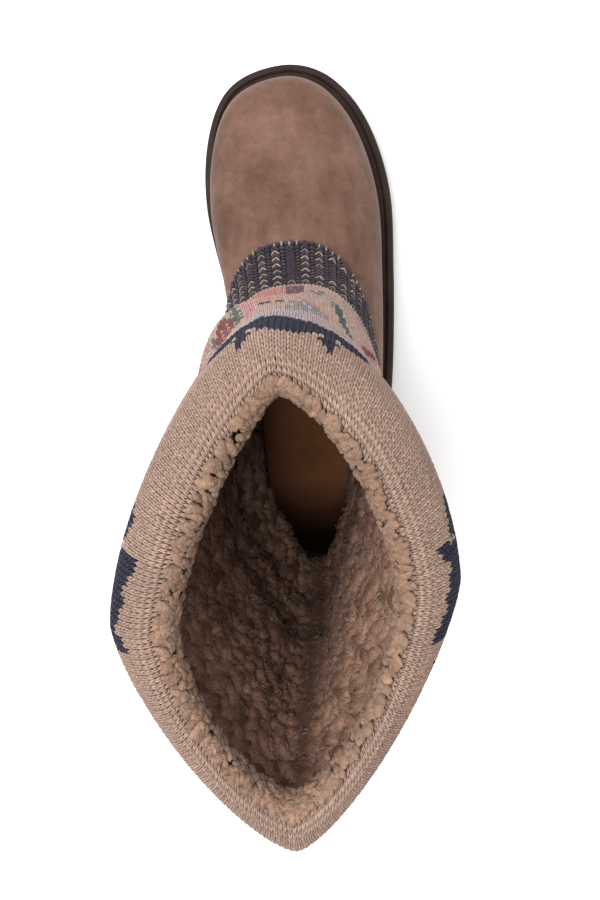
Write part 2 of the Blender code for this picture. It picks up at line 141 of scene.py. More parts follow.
SHAFT_ROWS = [
    ShaftRow(0.035, 0.050, 0.36, -0.05, -0.02, -0.03, 2.80, 2.20, 0.00, 1.0),
    ShaftRow(0.092, 0.100, 0.66, -0.12, -0.03, -0.05, 2.80, 2.20, 0.00, 1.2),
    ShaftRow(0.158, 0.150, 0.82, -0.18, -0.32, -0.40, 2.70, 2.10, 0.05, 2.0),
    ShaftRow(0.235, 0.215, 0.93, -0.12, -0.14, -0.16, 2.60, 2.10, 0.15, 1.8),
    ShaftRow(0.305, 0.285, 0.80, 0.03, 0.12, 0.05, 2.60, 2.00, 0.30, 1.2),
    ShaftRow(0.375, 0.350, 0.93, 0.10, -0.08, -0.10, 2.60, 2.00, 0.60, 1.4),
    ShaftRow(0.470, 0.450, 0.80, 0.25, 0.06, 0.08, 3.00, 1.85, 1.00, 1.1),
    ShaftRow(0.545, 0.525, 0.90, 0.27, -0.02, 0.02, 2.40, 1.75, 0.60, 1.3),
    ShaftRow(0.640, 0.630, 0.98, 0.36, 0.18, 0.18, 2.05, 1.65, 0.25, 1.1),
    ShaftRow(0.735, 0.730, 1.01, 0.50, 0.36, 0.36, 1.82, 1.52, 0.10, 1.1),
    ShaftRow(0.820, 0.815, 0.96, 0.68, 0.60, 0.58, 1.71, 1.44, 0.00, 1.4),
    ShaftRow(0.895, 0.890, 0.93, 0.89, 0.87, 0.86, 1.66, 1.37, 0.00, 1.8),
    ShaftRow(0.960, 0.955, 0.98, 1.00, 1.00, 1.00, 1.62, 1.31, 0.00, 2.2),
]


class RollRow(NamedTuple):
    """One ring of the cuff's soft roll.

    up is its height above the shaft and inset how far in it lies, as shares of the roll; cover is the share
    of the knit's thickness that lies outside it, and the squares are added to those of the section below.
    """

    up: float
    inset: float
    cover: float
    front_square: float
    back_square: float


ROLL_ROWS = [
    RollRow(0.20, 0.10, 0.95, 0.00, 0.00),
    RollRow(0.58, 0.27, 0.75, -0.03, 0.04),
    RollRow(0.83, 0.52, 0.50, -0.08, 0.10),
    RollRow(0.84, 0.76, 0.25, -0.13, 0.18),
    RollRow(0.62, 0.93, 0.10, -0.18, 0.22),
    RollRow(0.28, 0.98, 0.00, -0.20, 0.25),
]


class Outline(NamedTuple):
    """Half widths of the foot's outline at one turn, as shares of the widest."""

    turn: float
    inner: float
    outer: float


FOOT_OUTLINE = [
    Outline(0, 0.000, 0.000),
    Outline(20, 0.593, 0.465),
    Outline(40, 0.896, 0.815),
    Outline(60, 1.000, 1.000),
    Outline(80, 0.878, 0.980),
    Outline(100, 0.735, 0.905),
    Outline(120, 0.710, 0.784),
    Outline(140, 0.680, 0.695),
    Outline(160, 0.450, 0.440),
    Outline(180, 0.000, 0.000),
]


class HeightRow(NamedTuple):
    """The sole's height at one place along it, all as shares of its sizes."""

    along: float
    top: float
    toe: float
    arch: float


SOLE_HEIGHTS = [
    HeightRow(0.000, 1.04, 0.00, 0.90),
    HeightRow(0.045, 1.01, 0.00, 0.00),
    HeightRow(0.160, 0.98, 0.00, 0.00),
    HeightRow(0.310, 0.82, 0.00, 0.00),
    HeightRow(0.370, 0.68, 0.00, 0.80),
    HeightRow(0.430, 0.50, 0.00, 1.00),
    HeightRow(0.490, 0.30, 0.00, 0.00),
    HeightRow(0.640, 0.00, 0.00, 0.00),
    HeightRow(0.755, -0.04, 0.00, 0.00),
    HeightRow(0.860, 0.00, 0.26, 0.00),
    HeightRow(0.940, 0.04, 0.66, 0.00),
    HeightRow(1.000, 0.08, 1.00, 0.00),
]


def mix(start: Array, end: Array, share: Array) -> Array:
    """The value that lies a share of the way from start to end."""
    return start + (end - start) * share


def smooth_step(low: float, high: float, value: Array) -> Array:
    """A soft step from 0 at low to 1 at high."""
    share = np.clip((value - low) / (high - low), 0, 1)
    return share * share * (3 - 2 * share)


def catmull_rom(table: Array, place: Array) -> Array:
    """Smooth values between the rows of a table.

    Args:
        table: The rows, with one column or more.
        place: Where to read it, where a whole number is a row.

    Returns:
        One row of values for each place.
    """
    low = np.clip(np.floor(place).astype(int), 0, len(table) - 2)
    share = place - low
    share = share.reshape(share.shape + (1,) * (table.ndim - 1))
    before, start, end, after = (table[np.clip(low + step, 0, len(table) - 1)] for step in (-1, 0, 1, 2))
    slope_in, slope_out = 0.5 * (end - before), 0.5 * (after - start)
    cubic = 2 * (start - end) + slope_in + slope_out
    square = 3 * (end - start) - 2 * slope_in - slope_out
    return ((cubic * share + square) * share + slope_in) * share + start


@dataclass(frozen=True)
class SoleSizes:
    """The sole's own sizes, as the solids have them."""

    length: float = 0.272
    inner: float = 0.0489
    outer: float = 0.0507
    heel_thickness: float = 0.0270
    forefoot_thickness: float = 0.0195
    toe_spring: float = 0.0085
    arch_rise: float = 0.0032
    edge_radius: float = 0.0022
    side_groove: float = 0.0011
    heel_rest: float = 0.050
    lug_groove_width: float = 0.0036
    lug_groove_depth: float = 0.0024
    lug_pitch: float = 0.0118
    lug_margin: float = 0.0085
    toe_ledge: float = 0.0085
    heel_ledge: float = 0.0050
    inner_ledge: float = 0.0052
    outer_ledge: float = 0.0078

    def curve(self, along: Array, column: str) -> Array:
        """A steady curve through one column of the height table, which never passes beyond its rows."""
        places = np.array([row.along for row in SOLE_HEIGHTS]) * self.length
        values = np.array([getattr(row, column) for row in SOLE_HEIGHTS])
        rise = np.diff(values) / np.diff(places)
        before, after = rise[:-1], rise[1:]
        rising = before * after > 0
        slope = np.zeros(len(values))
        slope[1:-1][rising] = 2 * before[rising] * after[rising] / (before + after)[rising]
        place = np.clip(np.searchsorted(places, along, side="right") - 1, 0, len(places) - 2)
        span = places[place + 1] - places[place]
        share = np.clip((along - places[place]) / span, 0, 1)
        start, end = values[place], values[place + 1]
        slope_in, slope_out = slope[place] * span, slope[place + 1] * span
        cubic = 2 * (start - end) + slope_in + slope_out
        square = 3 * (end - start) - 2 * slope_in - slope_out
        return ((cubic * share + square) * share + slope_in) * share + start

    def heights(self, along: Array) -> tuple[Array, Array]:
        """The sole's top and bottom heights at distances along it."""
        spring = self.curve(along, "toe") * self.toe_spring
        arch = self.curve(along, "arch") * self.arch_rise
        top = mix(self.forefoot_thickness, self.heel_thickness, self.curve(along, "top")) + spring
        return top, spring + arch

    def seat(self, along: float) -> float:
        """The height of the sole's top at one place."""
        return float(self.heights(np.array([along]))[0][0])

    def outline_share(self, turns: Array) -> Array:
        """The foot outline's half width at each turn, as a share of the widest on that side."""
        place = np.minimum(turns, 360 - turns) / FOOT_OUTLINE[1].turn
        shares = []
        for side in (1, 2):
            column = np.array([row[side] for row in FOOT_OUTLINE])
            padded = np.concatenate([[-column[1]], column, [-column[-2]]])
            shares.append(catmull_rom(padded, place + 1))
        return np.where(turns <= 180, shares[0], shares[1])

    def outline(self, turns: Array, front: float, back: float, inner: float, outer: float) -> Array:
        """An outline of (across, along) points with the foot's shape."""
        width = np.where(turns <= 180, inner, -outer) * self.outline_share(turns)
        along = mix(back, front, 0.5 + 0.5 * np.cos(np.radians(turns)))
        return np.stack([width, along], axis=1)

    def feather(self, turns: Array) -> Array:
        """The outline of the upper's lowest edge."""
        return self.outline(
            turns, self.length - self.toe_ledge, self.heel_ledge,
            self.inner - self.inner_ledge, self.outer - self.outer_ledge,
        )

    def inset(self, points: Array, distance: float) -> Array:
        """The outline moved inwards at right angles to itself."""
        tangent = np.roll(points, -1, axis=0) - np.roll(points, 1, axis=0)
        tangent /= np.linalg.norm(tangent, axis=1)[:, None]
        return points + np.stack([tangent[:, 1], -tangent[:, 0]], axis=1) * distance

    def placed(self, outline: Array, heights: Array) -> Array:
        """An outline's points at their heights, in the boot's frame."""
        return np.stack([outline[:, 0], self.heel_rest - outline[:, 1], heights], axis=1)


@dataclass(frozen=True)
class LegSizes:
    """The sizes of the foot part's throat, the shaft and the cuff, as the solids have them."""

    boot_height: float = 0.320
    vamp_height: float = 0.0520
    throat_rise: float = 0.004
    throat_along: float = 0.177
    throat_back_along: float = 0.0075
    throat_inner: float = 0.0345
    throat_outer: float = 0.0365
    throat_lean: float = 0.0040
    throat_square: float = 2.8
    heel_square: float = 2.2
    cuff_front_along: float = 0.1410
    cuff_back_along: float = -0.0206
    cuff_inner: float = 0.0525
    cuff_outer: float = 0.0518
    cuff_inner_set: float = 0.0065
    cuff_front_lean: float = 0.0010
    cuff_back_lean: float = 0.0068
    cuff_front_skew: float = 0.12
    cuff_back_skew: float = -0.01
    fold_lean: float = 0.0025
    cuff_roll: float = 0.0160
    lip_shift: float = 0.0012
    lap_gap: float = 0.0006
    knit_wall: float = 0.0030

    @property
    def knit_lap(self) -> float:
        """How far outside the loft the knit's face lies, where the loft has its full cover."""
        return self.lap_gap + self.knit_wall


class BootForm:
    """The boot's loft, from the feather line over the slouched shaft to the lip of the cuff."""

    def __init__(self, sole: SoleSizes, leg: LegSizes) -> None:
        """Works out the sections from the sizes and the rows."""
        self.sole, self.leg = sole, leg
        toe, heel = sole.length - sole.toe_ledge, sole.heel_ledge
        self.front_seat, self.back_seat = sole.seat(toe), sole.seat(heel)
        self.feather = Section(
            toe, self.front_seat, heel, self.back_seat,
            sole.inner - sole.inner_ledge, sole.outer - sole.outer_ledge,
            0, 0, 0, 0, 2, 2, 0, 0, 1, 1, 0, 1,
        )
        front_up = mix(sole.forefoot_thickness, sole.heel_thickness, 0.5) + leg.vamp_height + leg.throat_rise
        self.throat = Section(
            leg.throat_along, front_up, leg.throat_back_along, sole.heel_thickness + leg.vamp_height,
            leg.throat_inner, leg.throat_outer, leg.throat_lean,
            0, 0, 0, leg.throat_square, leg.heel_square, 0, 0, 0, 0, 1, 1,
        )
        sections = [self._vamp(row) for row in VAMP_ROWS]
        sections += [self._shaft(row) for row in SHAFT_ROWS]
        sections += [self._roll(row) for row in ROLL_ROWS]
        self.table = np.array(sections, dtype=float)
        self.columns = {name: place for place, name in enumerate(Section._fields)}
        self.top = len(sections) - 1

    def _vamp(self, row: VampRow) -> Section:
        """A section between the feather line and the throat."""
        feather, throat = self.feather, self.throat
        return Section(
            mix(feather.front_along, throat.front_along, row.front),
            mix(feather.front_up, throat.front_up, row.front_up),
            mix(feather.back_along, throat.back_along, row.back),
            mix(feather.back_up, throat.back_up, row.back_up),
            mix(feather.inner, throat.inner, row.inner),
            mix(feather.outer, throat.outer, row.outer),
            self.leg.throat_lean * max(row.front, 0), 0, 0, 0,
            row.square, self.leg.heel_square, 0, 0, row.foot, row.follow, 1, 1,
        )

    def _roll_height(self, up: float) -> float:
        """The height at a share of the cuff's roll, so that the knit's crest ends at the boot's height."""
        crest = max(ROLL_ROWS, key=lambda row: row.up)
        return self.leg.boot_height - self.leg.knit_lap * crest.cover - self.leg.cuff_roll * (crest.up - up)

    def _shaft(self, row: ShaftRow) -> Section:
        """A section between the throat and the cuff's widest ring."""
        throat, leg, top = self.throat, self.leg, self._roll_height(0)
        return Section(
            mix(throat.front_along, leg.cuff_front_along, row.front),
            mix(throat.front_up, top, row.front_up),
            mix(throat.back_along, leg.cuff_back_along, row.back),
            mix(throat.back_up, top, row.back_up),
            mix(throat.inner, leg.cuff_inner, row.inner),
            mix(throat.outer, leg.cuff_outer, row.outer),
            mix(leg.throat_lean, leg.cuff_front_lean, row.front_up) + leg.fold_lean * row.lean,
            leg.cuff_back_lean * row.back_up,
            leg.cuff_inner_set * row.front_up, 0,
            row.front_square, row.back_square,
            leg.cuff_front_skew * row.front_up, leg.cuff_back_skew * row.back_up, 0, 0, row.wall, 1,
        )

    def _roll(self, row: RollRow) -> Section:
        """A section of the cuff's roll, above the shaft's last one."""
        base, inset = self._shaft(SHAFT_ROWS[-1]), self.leg.cuff_roll * row.inset
        shift, height = self.leg.lip_shift * row.inset, self._roll_height(row.up)
        return base._replace(
            front_along=base.front_along - inset, back_along=base.back_along + inset,
            inner=base.inner - inset, outer=base.outer - inset, front_up=height, back_up=height,
            front_lean=base.front_lean - shift, back_lean=base.back_lean - shift,
            front_square=base.front_square + row.front_square, back_square=base.back_square + row.back_square,
            cover=row.cover,
        )

    def column(self, sections: Array, name: str) -> Array:
        """One column of the sections, ready to spread round their turns."""
        return sections[:, self.columns[name]][:, None]

    def sections(self, levels: Array) -> Array:
        """The loft's sections at the levels."""
        return catmull_rom(self.table, np.clip(np.asarray(levels, dtype=float), 0, self.top))

    def drawn_in(self, sections: Array, distance: Array) -> Array:
        """The sections made smaller at the front, back and both sides."""
        smaller = sections.copy()
        for name, sign in (("front_along", -1), ("back_along", 1), ("inner", -1), ("outer", -1)):
            smaller[:, self.columns[name]] += sign * distance
        return smaller

    def points(self, sections: Array, turns: Array) -> Array:
        """Points of the sections.

        Args:
            sections: One section a row.
            turns: Turns in degrees, one row for all sections or one for each.

        Returns:
            Points by section, turn and axis.
        """
        def get(name: str) -> Array:
            """One column of the sections."""
            return self.column(sections, name)

        turns = np.mod(np.atleast_2d(turns), 360.0)
        angle = np.radians(turns)
        cosine, sine = np.cos(angle), np.sin(angle)
        inner_side = turns <= 180
        square = np.where(cosine < 0, get("back_square"), get("front_square"))
        skew = np.where(cosine < 0, get("back_skew"), get("front_skew"))
        square = square + np.where(inner_side, -skew, skew)
        round_share = np.sign(cosine) * np.abs(cosine) ** (2 / square)
        round_width = np.abs(sine) ** (2 / square)
        foot = get("foot")
        share = 0.5 + 0.5 * mix(round_share, cosine, foot)
        set_back = np.where(inner_side, get("inner_set"), get("outer_set")) * sine**2
        along = mix(get("back_along"), get("front_along"), share) - set_back
        chord = mix(get("back_up"), get("front_up"), share)
        seat = self.sole.heights(along)[0] - mix(self.back_seat, self.front_seat, share)
        width = np.where(inner_side, get("inner"), -get("outer"))
        width = width * mix(round_width, self.sole.outline_share(turns), foot)
        across = width + mix(get("back_lean"), get("front_lean"), share)
        return np.stack([across, self.sole.heel_rest - along, chord + seat * get("follow")], axis=-1)

    def normals(self, levels: Array, turns: Array) -> Array:
        """Outward normals of the loft at the levels and turns."""
        levels = np.asarray(levels, dtype=float)
        above = self.points(self.sections(np.minimum(levels + 0.02, self.top)), turns)
        below = self.points(self.sections(np.maximum(levels - 0.02, 0)), turns)
        here = self.sections(levels)
        around = self.points(here, np.atleast_2d(turns) + 3.0) - self.points(here, np.atleast_2d(turns) - 3.0)
        normal = np.cross(around, above - below)
        return normal / np.maximum(np.linalg.norm(normal, axis=-1), 1e-12)[..., None]

    def surface(self, levels: Array, turns: Array, offset: Array) -> Array:
        """Points of the loft moved outwards along their normals."""
        levels = np.asarray(levels, dtype=float)
        offset = np.asarray(offset, dtype=float)
        if offset.ndim == 1:
            offset = offset[:, None]
        return self.points(self.sections(levels), turns) + self.normals(levels, turns) * offset[..., None]

    def even_turns(self, levels: Array, count: int, offset: float) -> Array:
        """Turns that lie evenly along each ring, from the back seam round the outer side and home.

        Args:
            levels: The rings.
            count: Turns on each ring.
            offset: How far outside the loft the lengths are measured.

        Returns:
            Turns by ring and place, growing from 180 to 540.
        """
        dense = np.linspace(180.0, 540.0, 1441)
        found = []
        for start in range(0, len(levels), 40):
            part = levels[start : start + 40]
            ring = self.surface(part, dense, np.full(len(part), offset))
            length = np.linalg.norm(np.diff(ring, axis=1), axis=2)
            length = np.concatenate([np.zeros((len(part), 1)), np.cumsum(length, axis=1)], axis=1)
            for row in length:
                found.append(np.interp(np.arange(count) / count * row[-1], row, dense))
        return np.array(found)

    def even_levels(self, low: float, high: float, pitch: float) -> Array:
        """Levels from low to high whose rings lie about a pitch apart on the loft."""
        dense = np.linspace(low, high, 700)
        rings = self.points(self.sections(dense), np.arange(0, 360, 7.5))
        length = np.linalg.norm(np.diff(rings, axis=0), axis=2).mean(axis=1)
        length = np.concatenate([[0], np.cumsum(length)])
        count = max(2, round(length[-1] / pitch) + 1)
        return np.interp(np.linspace(0, length[-1], count), length, dense)


# ---------------------------------------------------------------- meshes and node trees


class MeshMaker:
    """Turns arrays of points into mesh objects that sit at the origin."""

    @staticmethod
    def grid_faces(rows: int, columns: int, closed: bool, start: int = 0) -> Array:
        """Quads between neighbouring rings, each ring closed on itself."""
        row = np.arange(rows if closed else rows - 1)[:, None]
        column = np.arange(columns)[None, :]
        following, beside = (row + 1) % rows, (column + 1) % columns
        corners = [
            row * columns + column, row * columns + beside,
            following * columns + beside, following * columns + column,
        ]
        return np.stack(corners, axis=-1).reshape(-1, 4) + start

    @staticmethod
    def cap_faces(columns: int, start: int, upwards: bool) -> Array:
        """Quads across one ring, between the points at the same place on its two sides."""
        half = columns // 2
        step = np.arange(0, half)
        across = start + columns - step - 1, start + (columns - step) % columns
        faces = np.stack([start + step, start + step + 1, *across], axis=1)
        return faces if upwards else faces[:, ::-1]

    @staticmethod
    def make(name: str, points: Array, faces: Array, finishes: Sequence[bpy.types.Material],
             face_finish: Optional[Array] = None) -> bpy.types.Object:
        """A smooth mesh object.

        Args:
            name: The piece's name.
            points: Its points.
            faces: Its quads, where a repeated corner makes a triangle.
            finishes: Its materials.
            face_finish: Which material each face has, if not the first.

        Returns:
            The object, linked to the scene.
        """
        mesh = bpy.data.meshes.new(name)
        listed = []
        for face in faces.tolist():
            kept = [corner for place, corner in enumerate(face) if corner != face[place - 1]]
            listed.append(kept)
        mesh.from_pydata(np.asarray(points).reshape(-1, 3).tolist(), [], listed)
        for finish in finishes:
            mesh.materials.append(finish)
        if face_finish is not None:
            mesh.polygons.foreach_set("material_index", np.asarray(face_finish, dtype=np.int32))
        mesh.polygons.foreach_set("use_smooth", np.ones(len(mesh.polygons), dtype=bool))
        mesh.update()
        piece = bpy.data.objects.new(name, mesh)
        bpy.context.scene.collection.objects.link(piece)
        return piece

    @staticmethod
    def colour(piece: bpy.types.Object, colours: Array) -> None:
        """Gives each point of a piece its yarn's colour."""
        layer = piece.data.color_attributes.new("yarn", "FLOAT_COLOR", "POINT")
        flat = np.concatenate([colours, np.ones((len(colours), 1))], axis=1)
        layer.data.foreach_set("color", flat.astype(np.float32).ravel())

    @staticmethod
    def number(piece: bpy.types.Object, name: str, values: Array) -> None:
        """Gives each point of a piece a number."""
        layer = piece.data.attributes.new(name, "FLOAT", "POINT")
        layer.data.foreach_set("value", np.asarray(values, dtype=np.float32).ravel())


class NodeDesk:
    """Short ways to add nodes to a tree and join them."""

    def __init__(self, tree: bpy.types.NodeTree) -> None:
        """Works on one tree."""
        self.nodes, self.links = tree.nodes, tree.links

    def put(self, socket: Socket, value: object) -> None:
        """Sets a socket to a value, or links it to another."""
        if isinstance(value, bpy.types.NodeSocket):
            self.links.new(value, socket)
        else:
            socket.default_value = value

    def step(self, kind: str, inputs: dict[Union[int, str], object], output: Union[int, str] = 0,
             **settings: object) -> Socket:
        """Adds a node.

        Args:
            kind: The node's type.
            inputs: What goes into its sockets, by place or name.
            output: Which of its outputs is wanted.
            settings: Its own settings, which are set before its inputs.

        Returns:
            The wanted output.
        """
        node = self.nodes.new(kind)
        for name, value in settings.items():
            setattr(node, name, value)
        for place, value in inputs.items():
            self.put(node.inputs[place], value)
        return node.outputs[output]

    def math(self, operation: str, *values: object) -> Socket:
        """One step of arithmetic."""
        return self.step("ShaderNodeMath", dict(enumerate(values)), operation=operation)

    def vector(self, operation: str, inputs: dict[Union[int, str], object]) -> Socket:
        """One step of arithmetic on vectors."""
        return self.step("ShaderNodeVectorMath", inputs, operation=operation)


class GeometryDesk(NodeDesk):
    """A Geometry Nodes tree with named inputs for its sizes."""

    def __init__(self, name: str, sizes: dict[str, float]) -> None:
        """Starts the tree with a socket for each size, whole numbers as whole ones."""
        self.tree = bpy.data.node_groups.new(name, "GeometryNodeTree")
        super().__init__(self.tree)
        self._socket("Geometry", "Geometry", "INPUT")
        self._socket("Geometry", "Geometry", "OUTPUT")
        self.values = {}
        for label, value in sizes.items():
            self.values[self._socket(label, "Int" if isinstance(value, int) else "Float", "INPUT")] = value
        self.given = self.nodes.new("NodeGroupInput").outputs
        self.made = self.nodes.new("NodeGroupOutput").inputs[0]

    def _socket(self, label: str, kind: str, way: str) -> str:
        """Adds a named socket to the tree and returns its identifier."""
        kind = "NodeSocket" + kind
        return self.tree.interface.new_socket(name=label, in_out=way, socket_type=kind).identifier

    def read(self, name: str, kind: str) -> Socket:
        """The points' own value of that name."""
        return self.step("GeometryNodeInputNamedAttribute", {"Name": name}, "Attribute", data_type=kind)

    def moved(self, mesh: Socket, offset: Socket) -> Socket:
        """The mesh with its points moved."""
        return self.step("GeometryNodeSetPosition", {"Geometry": mesh, "Offset": offset})

    def apply_to(self, piece: bpy.types.Object) -> bpy.types.Object:
        """Runs the tree on a piece with its sizes and makes the result the piece's own mesh."""
        modifier = piece.modifiers.new(self.tree.name, "NODES")
        modifier.node_group = self.tree
        for identifier, value in self.values.items():
            modifier[identifier] = value
        return applied(piece)


def applied(piece: bpy.types.Object) -> bpy.types.Object:
    """Makes what a piece's modifiers give its own plain mesh, and drops the vectors that its points carry."""
    graph = bpy.context.evaluated_depsgraph_get()
    made = piece.evaluated_get(graph)
    mesh = bpy.data.meshes.new_from_object(made, preserve_all_data_layers=True, depsgraph=graph)
    old = piece.data
    piece.modifiers.clear()
    piece.data = mesh
    bpy.data.meshes.remove(old)
    for name in [layer.name for layer in mesh.attributes]:
        layer = mesh.attributes[name]
        if layer.data_type in ("FLOAT_VECTOR", "QUATERNION") and name != "position":
            mesh.attributes.remove(layer)
    mesh.name = piece.name
    return piece


class StrandShape(Enum):
    """What lies on each point of a strand tree."""

    SPINDLE = "spindle"
    TUFT = "tuft"


@dataclass
class StrandTree:
    """Geometry Nodes that lay one short strand of yarn or tuft of pile on every point of a piece."""

    name: str
    shape: StrandShape
    material: bpy.types.Material
    sides: int = 4
    rings: int = 2
    ruffle: float = 0.0
    ruffle_size: float = 0.002

    def build(self) -> GeometryDesk:
        """Builds the tree, with its sizes as named inputs."""
        desk = GeometryDesk(self.name, {
            "Sides": self.sides, "Rings": self.rings,
            "Ruffle": self.ruffle, "Ruffle Scale": 1.0 / self.ruffle_size,
        })
        leg, out = desk.read("leg", "FLOAT_VECTOR"), desk.read("out", "FLOAT_VECTOR")
        turned = desk.step(
            "FunctionNodeAxesToRotation", {"Primary Axis": leg, "Secondary Axis": out},
            primary_axis="Z", secondary_axis="X",
        )
        laid = desk.step("GeometryNodeInstanceOnPoints", {
            "Points": desk.given["Geometry"], "Instance": self._strand(desk), "Rotation": turned,
            "Scale": desk.read("size", "FLOAT_VECTOR"),
        })
        real = desk.step("GeometryNodeRealizeInstances", {"Geometry": laid})
        smooth = desk.step("GeometryNodeSetShadeSmooth", {"Geometry": self._ruffled(desk, real)})
        dressed = desk.step("GeometryNodeSetMaterial", {"Geometry": smooth, "Material": self.material})
        desk.put(desk.made, dressed)
        return desk

    def _strand(self, desk: GeometryDesk) -> Socket:
        """The one strand or tuft that is repeated."""
        if self.shape is StrandShape.TUFT:
            return desk.step("GeometryNodeMeshIcoSphere", {"Subdivisions": desk.given["Rings"]}, "Mesh")
        return desk.step(
            "GeometryNodeMeshUVSphere",
            {"Segments": desk.given["Sides"], "Rings": desk.given["Rings"], "Radius": 1.0}, "Mesh",
        )

    def _ruffled(self, desk: GeometryDesk, mesh: Socket) -> Socket:
        """Moves the strands' points a little along a fixed noise."""
        noise = desk.step("ShaderNodeTexNoise", {"Detail": 1.0, "Scale": desk.given["Ruffle Scale"]}, "Color")
        centred = desk.vector("SUBTRACT", {0: noise, 1: (0.5, 0.5, 0.5)})
        return desk.moved(mesh, desk.vector("SCALE", {0: centred, "Scale": desk.given["Ruffle"]}))

    def lay(self, name: str, points: Array, leg: Array, out: Array, size: Array,
            colours: Array) -> bpy.types.Object:
        """Lays a strand on every point and turns the result into a plain mesh.

        Args:
            name: The piece's name.
            points: The strands' middles.
            leg: The way that each strand runs.
            out: The way that each strand faces.
            size: Half thickness, half width and half length of each strand.
            colours: The colour of each strand.

        Returns:
            The piece, with its colours on its points.
        """
        piece = MeshMaker.make(name, points, np.zeros((0, 4), dtype=int), [])
        for label, values in (("leg", leg), ("out", out), ("size", size)):
            layer = piece.data.attributes.new(label, "FLOAT_VECTOR", "POINT")
            layer.data.foreach_set("vector", np.asarray(values, dtype=np.float32).ravel())
        MeshMaker.colour(piece, colours)
        return self.build().apply_to(piece)


@dataclass
class PileTree:
    """Geometry Nodes that raise a fleece's curls from a smooth sheet and note how high each point stands."""

    name: str
    seed: float
    curl: float = 0.0042
    height: float = 0.0042
    warp: float = 0.006
    finer: float = 2.3
    finer_share: float = 0.38
    roundness: float = 1.35

    def raise_on(self, piece: bpy.types.Object) -> bpy.types.Object:
        """Raises the pile on a piece whose points carry a number named pile, and makes that its own mesh."""
        desk = GeometryDesk(self.name, {
            "Curl Scale": 1.0 / self.curl, "Pile Height": self.height, "Seed": self.seed,
        })
        warped = self._warped(desk)
        curls, small = self._curls(desk, warped, 1.0), self._curls(desk, warped, self.finer)
        both = desk.math("MULTIPLY_ADD", small, self.finer_share, curls)
        lifted = desk.math("MULTIPLY", both, desk.read("pile", "FLOAT"))
        height = desk.math("MULTIPLY", lifted, desk.given["Pile Height"])
        outward = desk.step("GeometryNodeInputNormal", {})
        noted = desk.step(
            "GeometryNodeStoreNamedAttribute",
            {"Geometry": desk.given["Geometry"], "Name": "raised", "Value": lifted},
            data_type="FLOAT", domain="POINT",
        )
        desk.put(desk.made, desk.moved(noted, desk.vector("SCALE", {0: outward, "Scale": height})))
        return desk.apply_to(piece)

    def _warped(self, desk: GeometryDesk) -> Socket:
        """The points' places, pushed about so that the curls run together."""
        place = desk.step("GeometryNodeInputPosition", {})
        scale = desk.math("MULTIPLY", desk.given["Curl Scale"], 0.8)
        noise = desk.step("ShaderNodeTexNoise", {"Detail": 1.5, "Vector": place, "Scale": scale}, "Color")
        return desk.vector("MULTIPLY_ADD", {0: noise, 1: (self.warp,) * 3, 2: place})

    def _curls(self, desk: GeometryDesk, place: Socket, finer: float) -> Socket:
        """Rounded lumps of one size, from 0 in their creases to 1 on top."""
        scale = desk.math("MULTIPLY", desk.given["Curl Scale"], finer)
        distance = desk.step(
            "ShaderNodeTexVoronoi",
            {"Smoothness": 0.12, "W": desk.given["Seed"], "Vector": place, "Scale": scale}, "Distance",
            feature="SMOOTH_F1", voronoi_dimensions="4D",
        )
        squared = desk.math("MULTIPLY", distance, distance)
        return desk.math("MAXIMUM", desk.math("MULTIPLY_ADD", squared, -self.roundness, 1.0), 0.0)


# ---------------------------------------------------------------- finishes


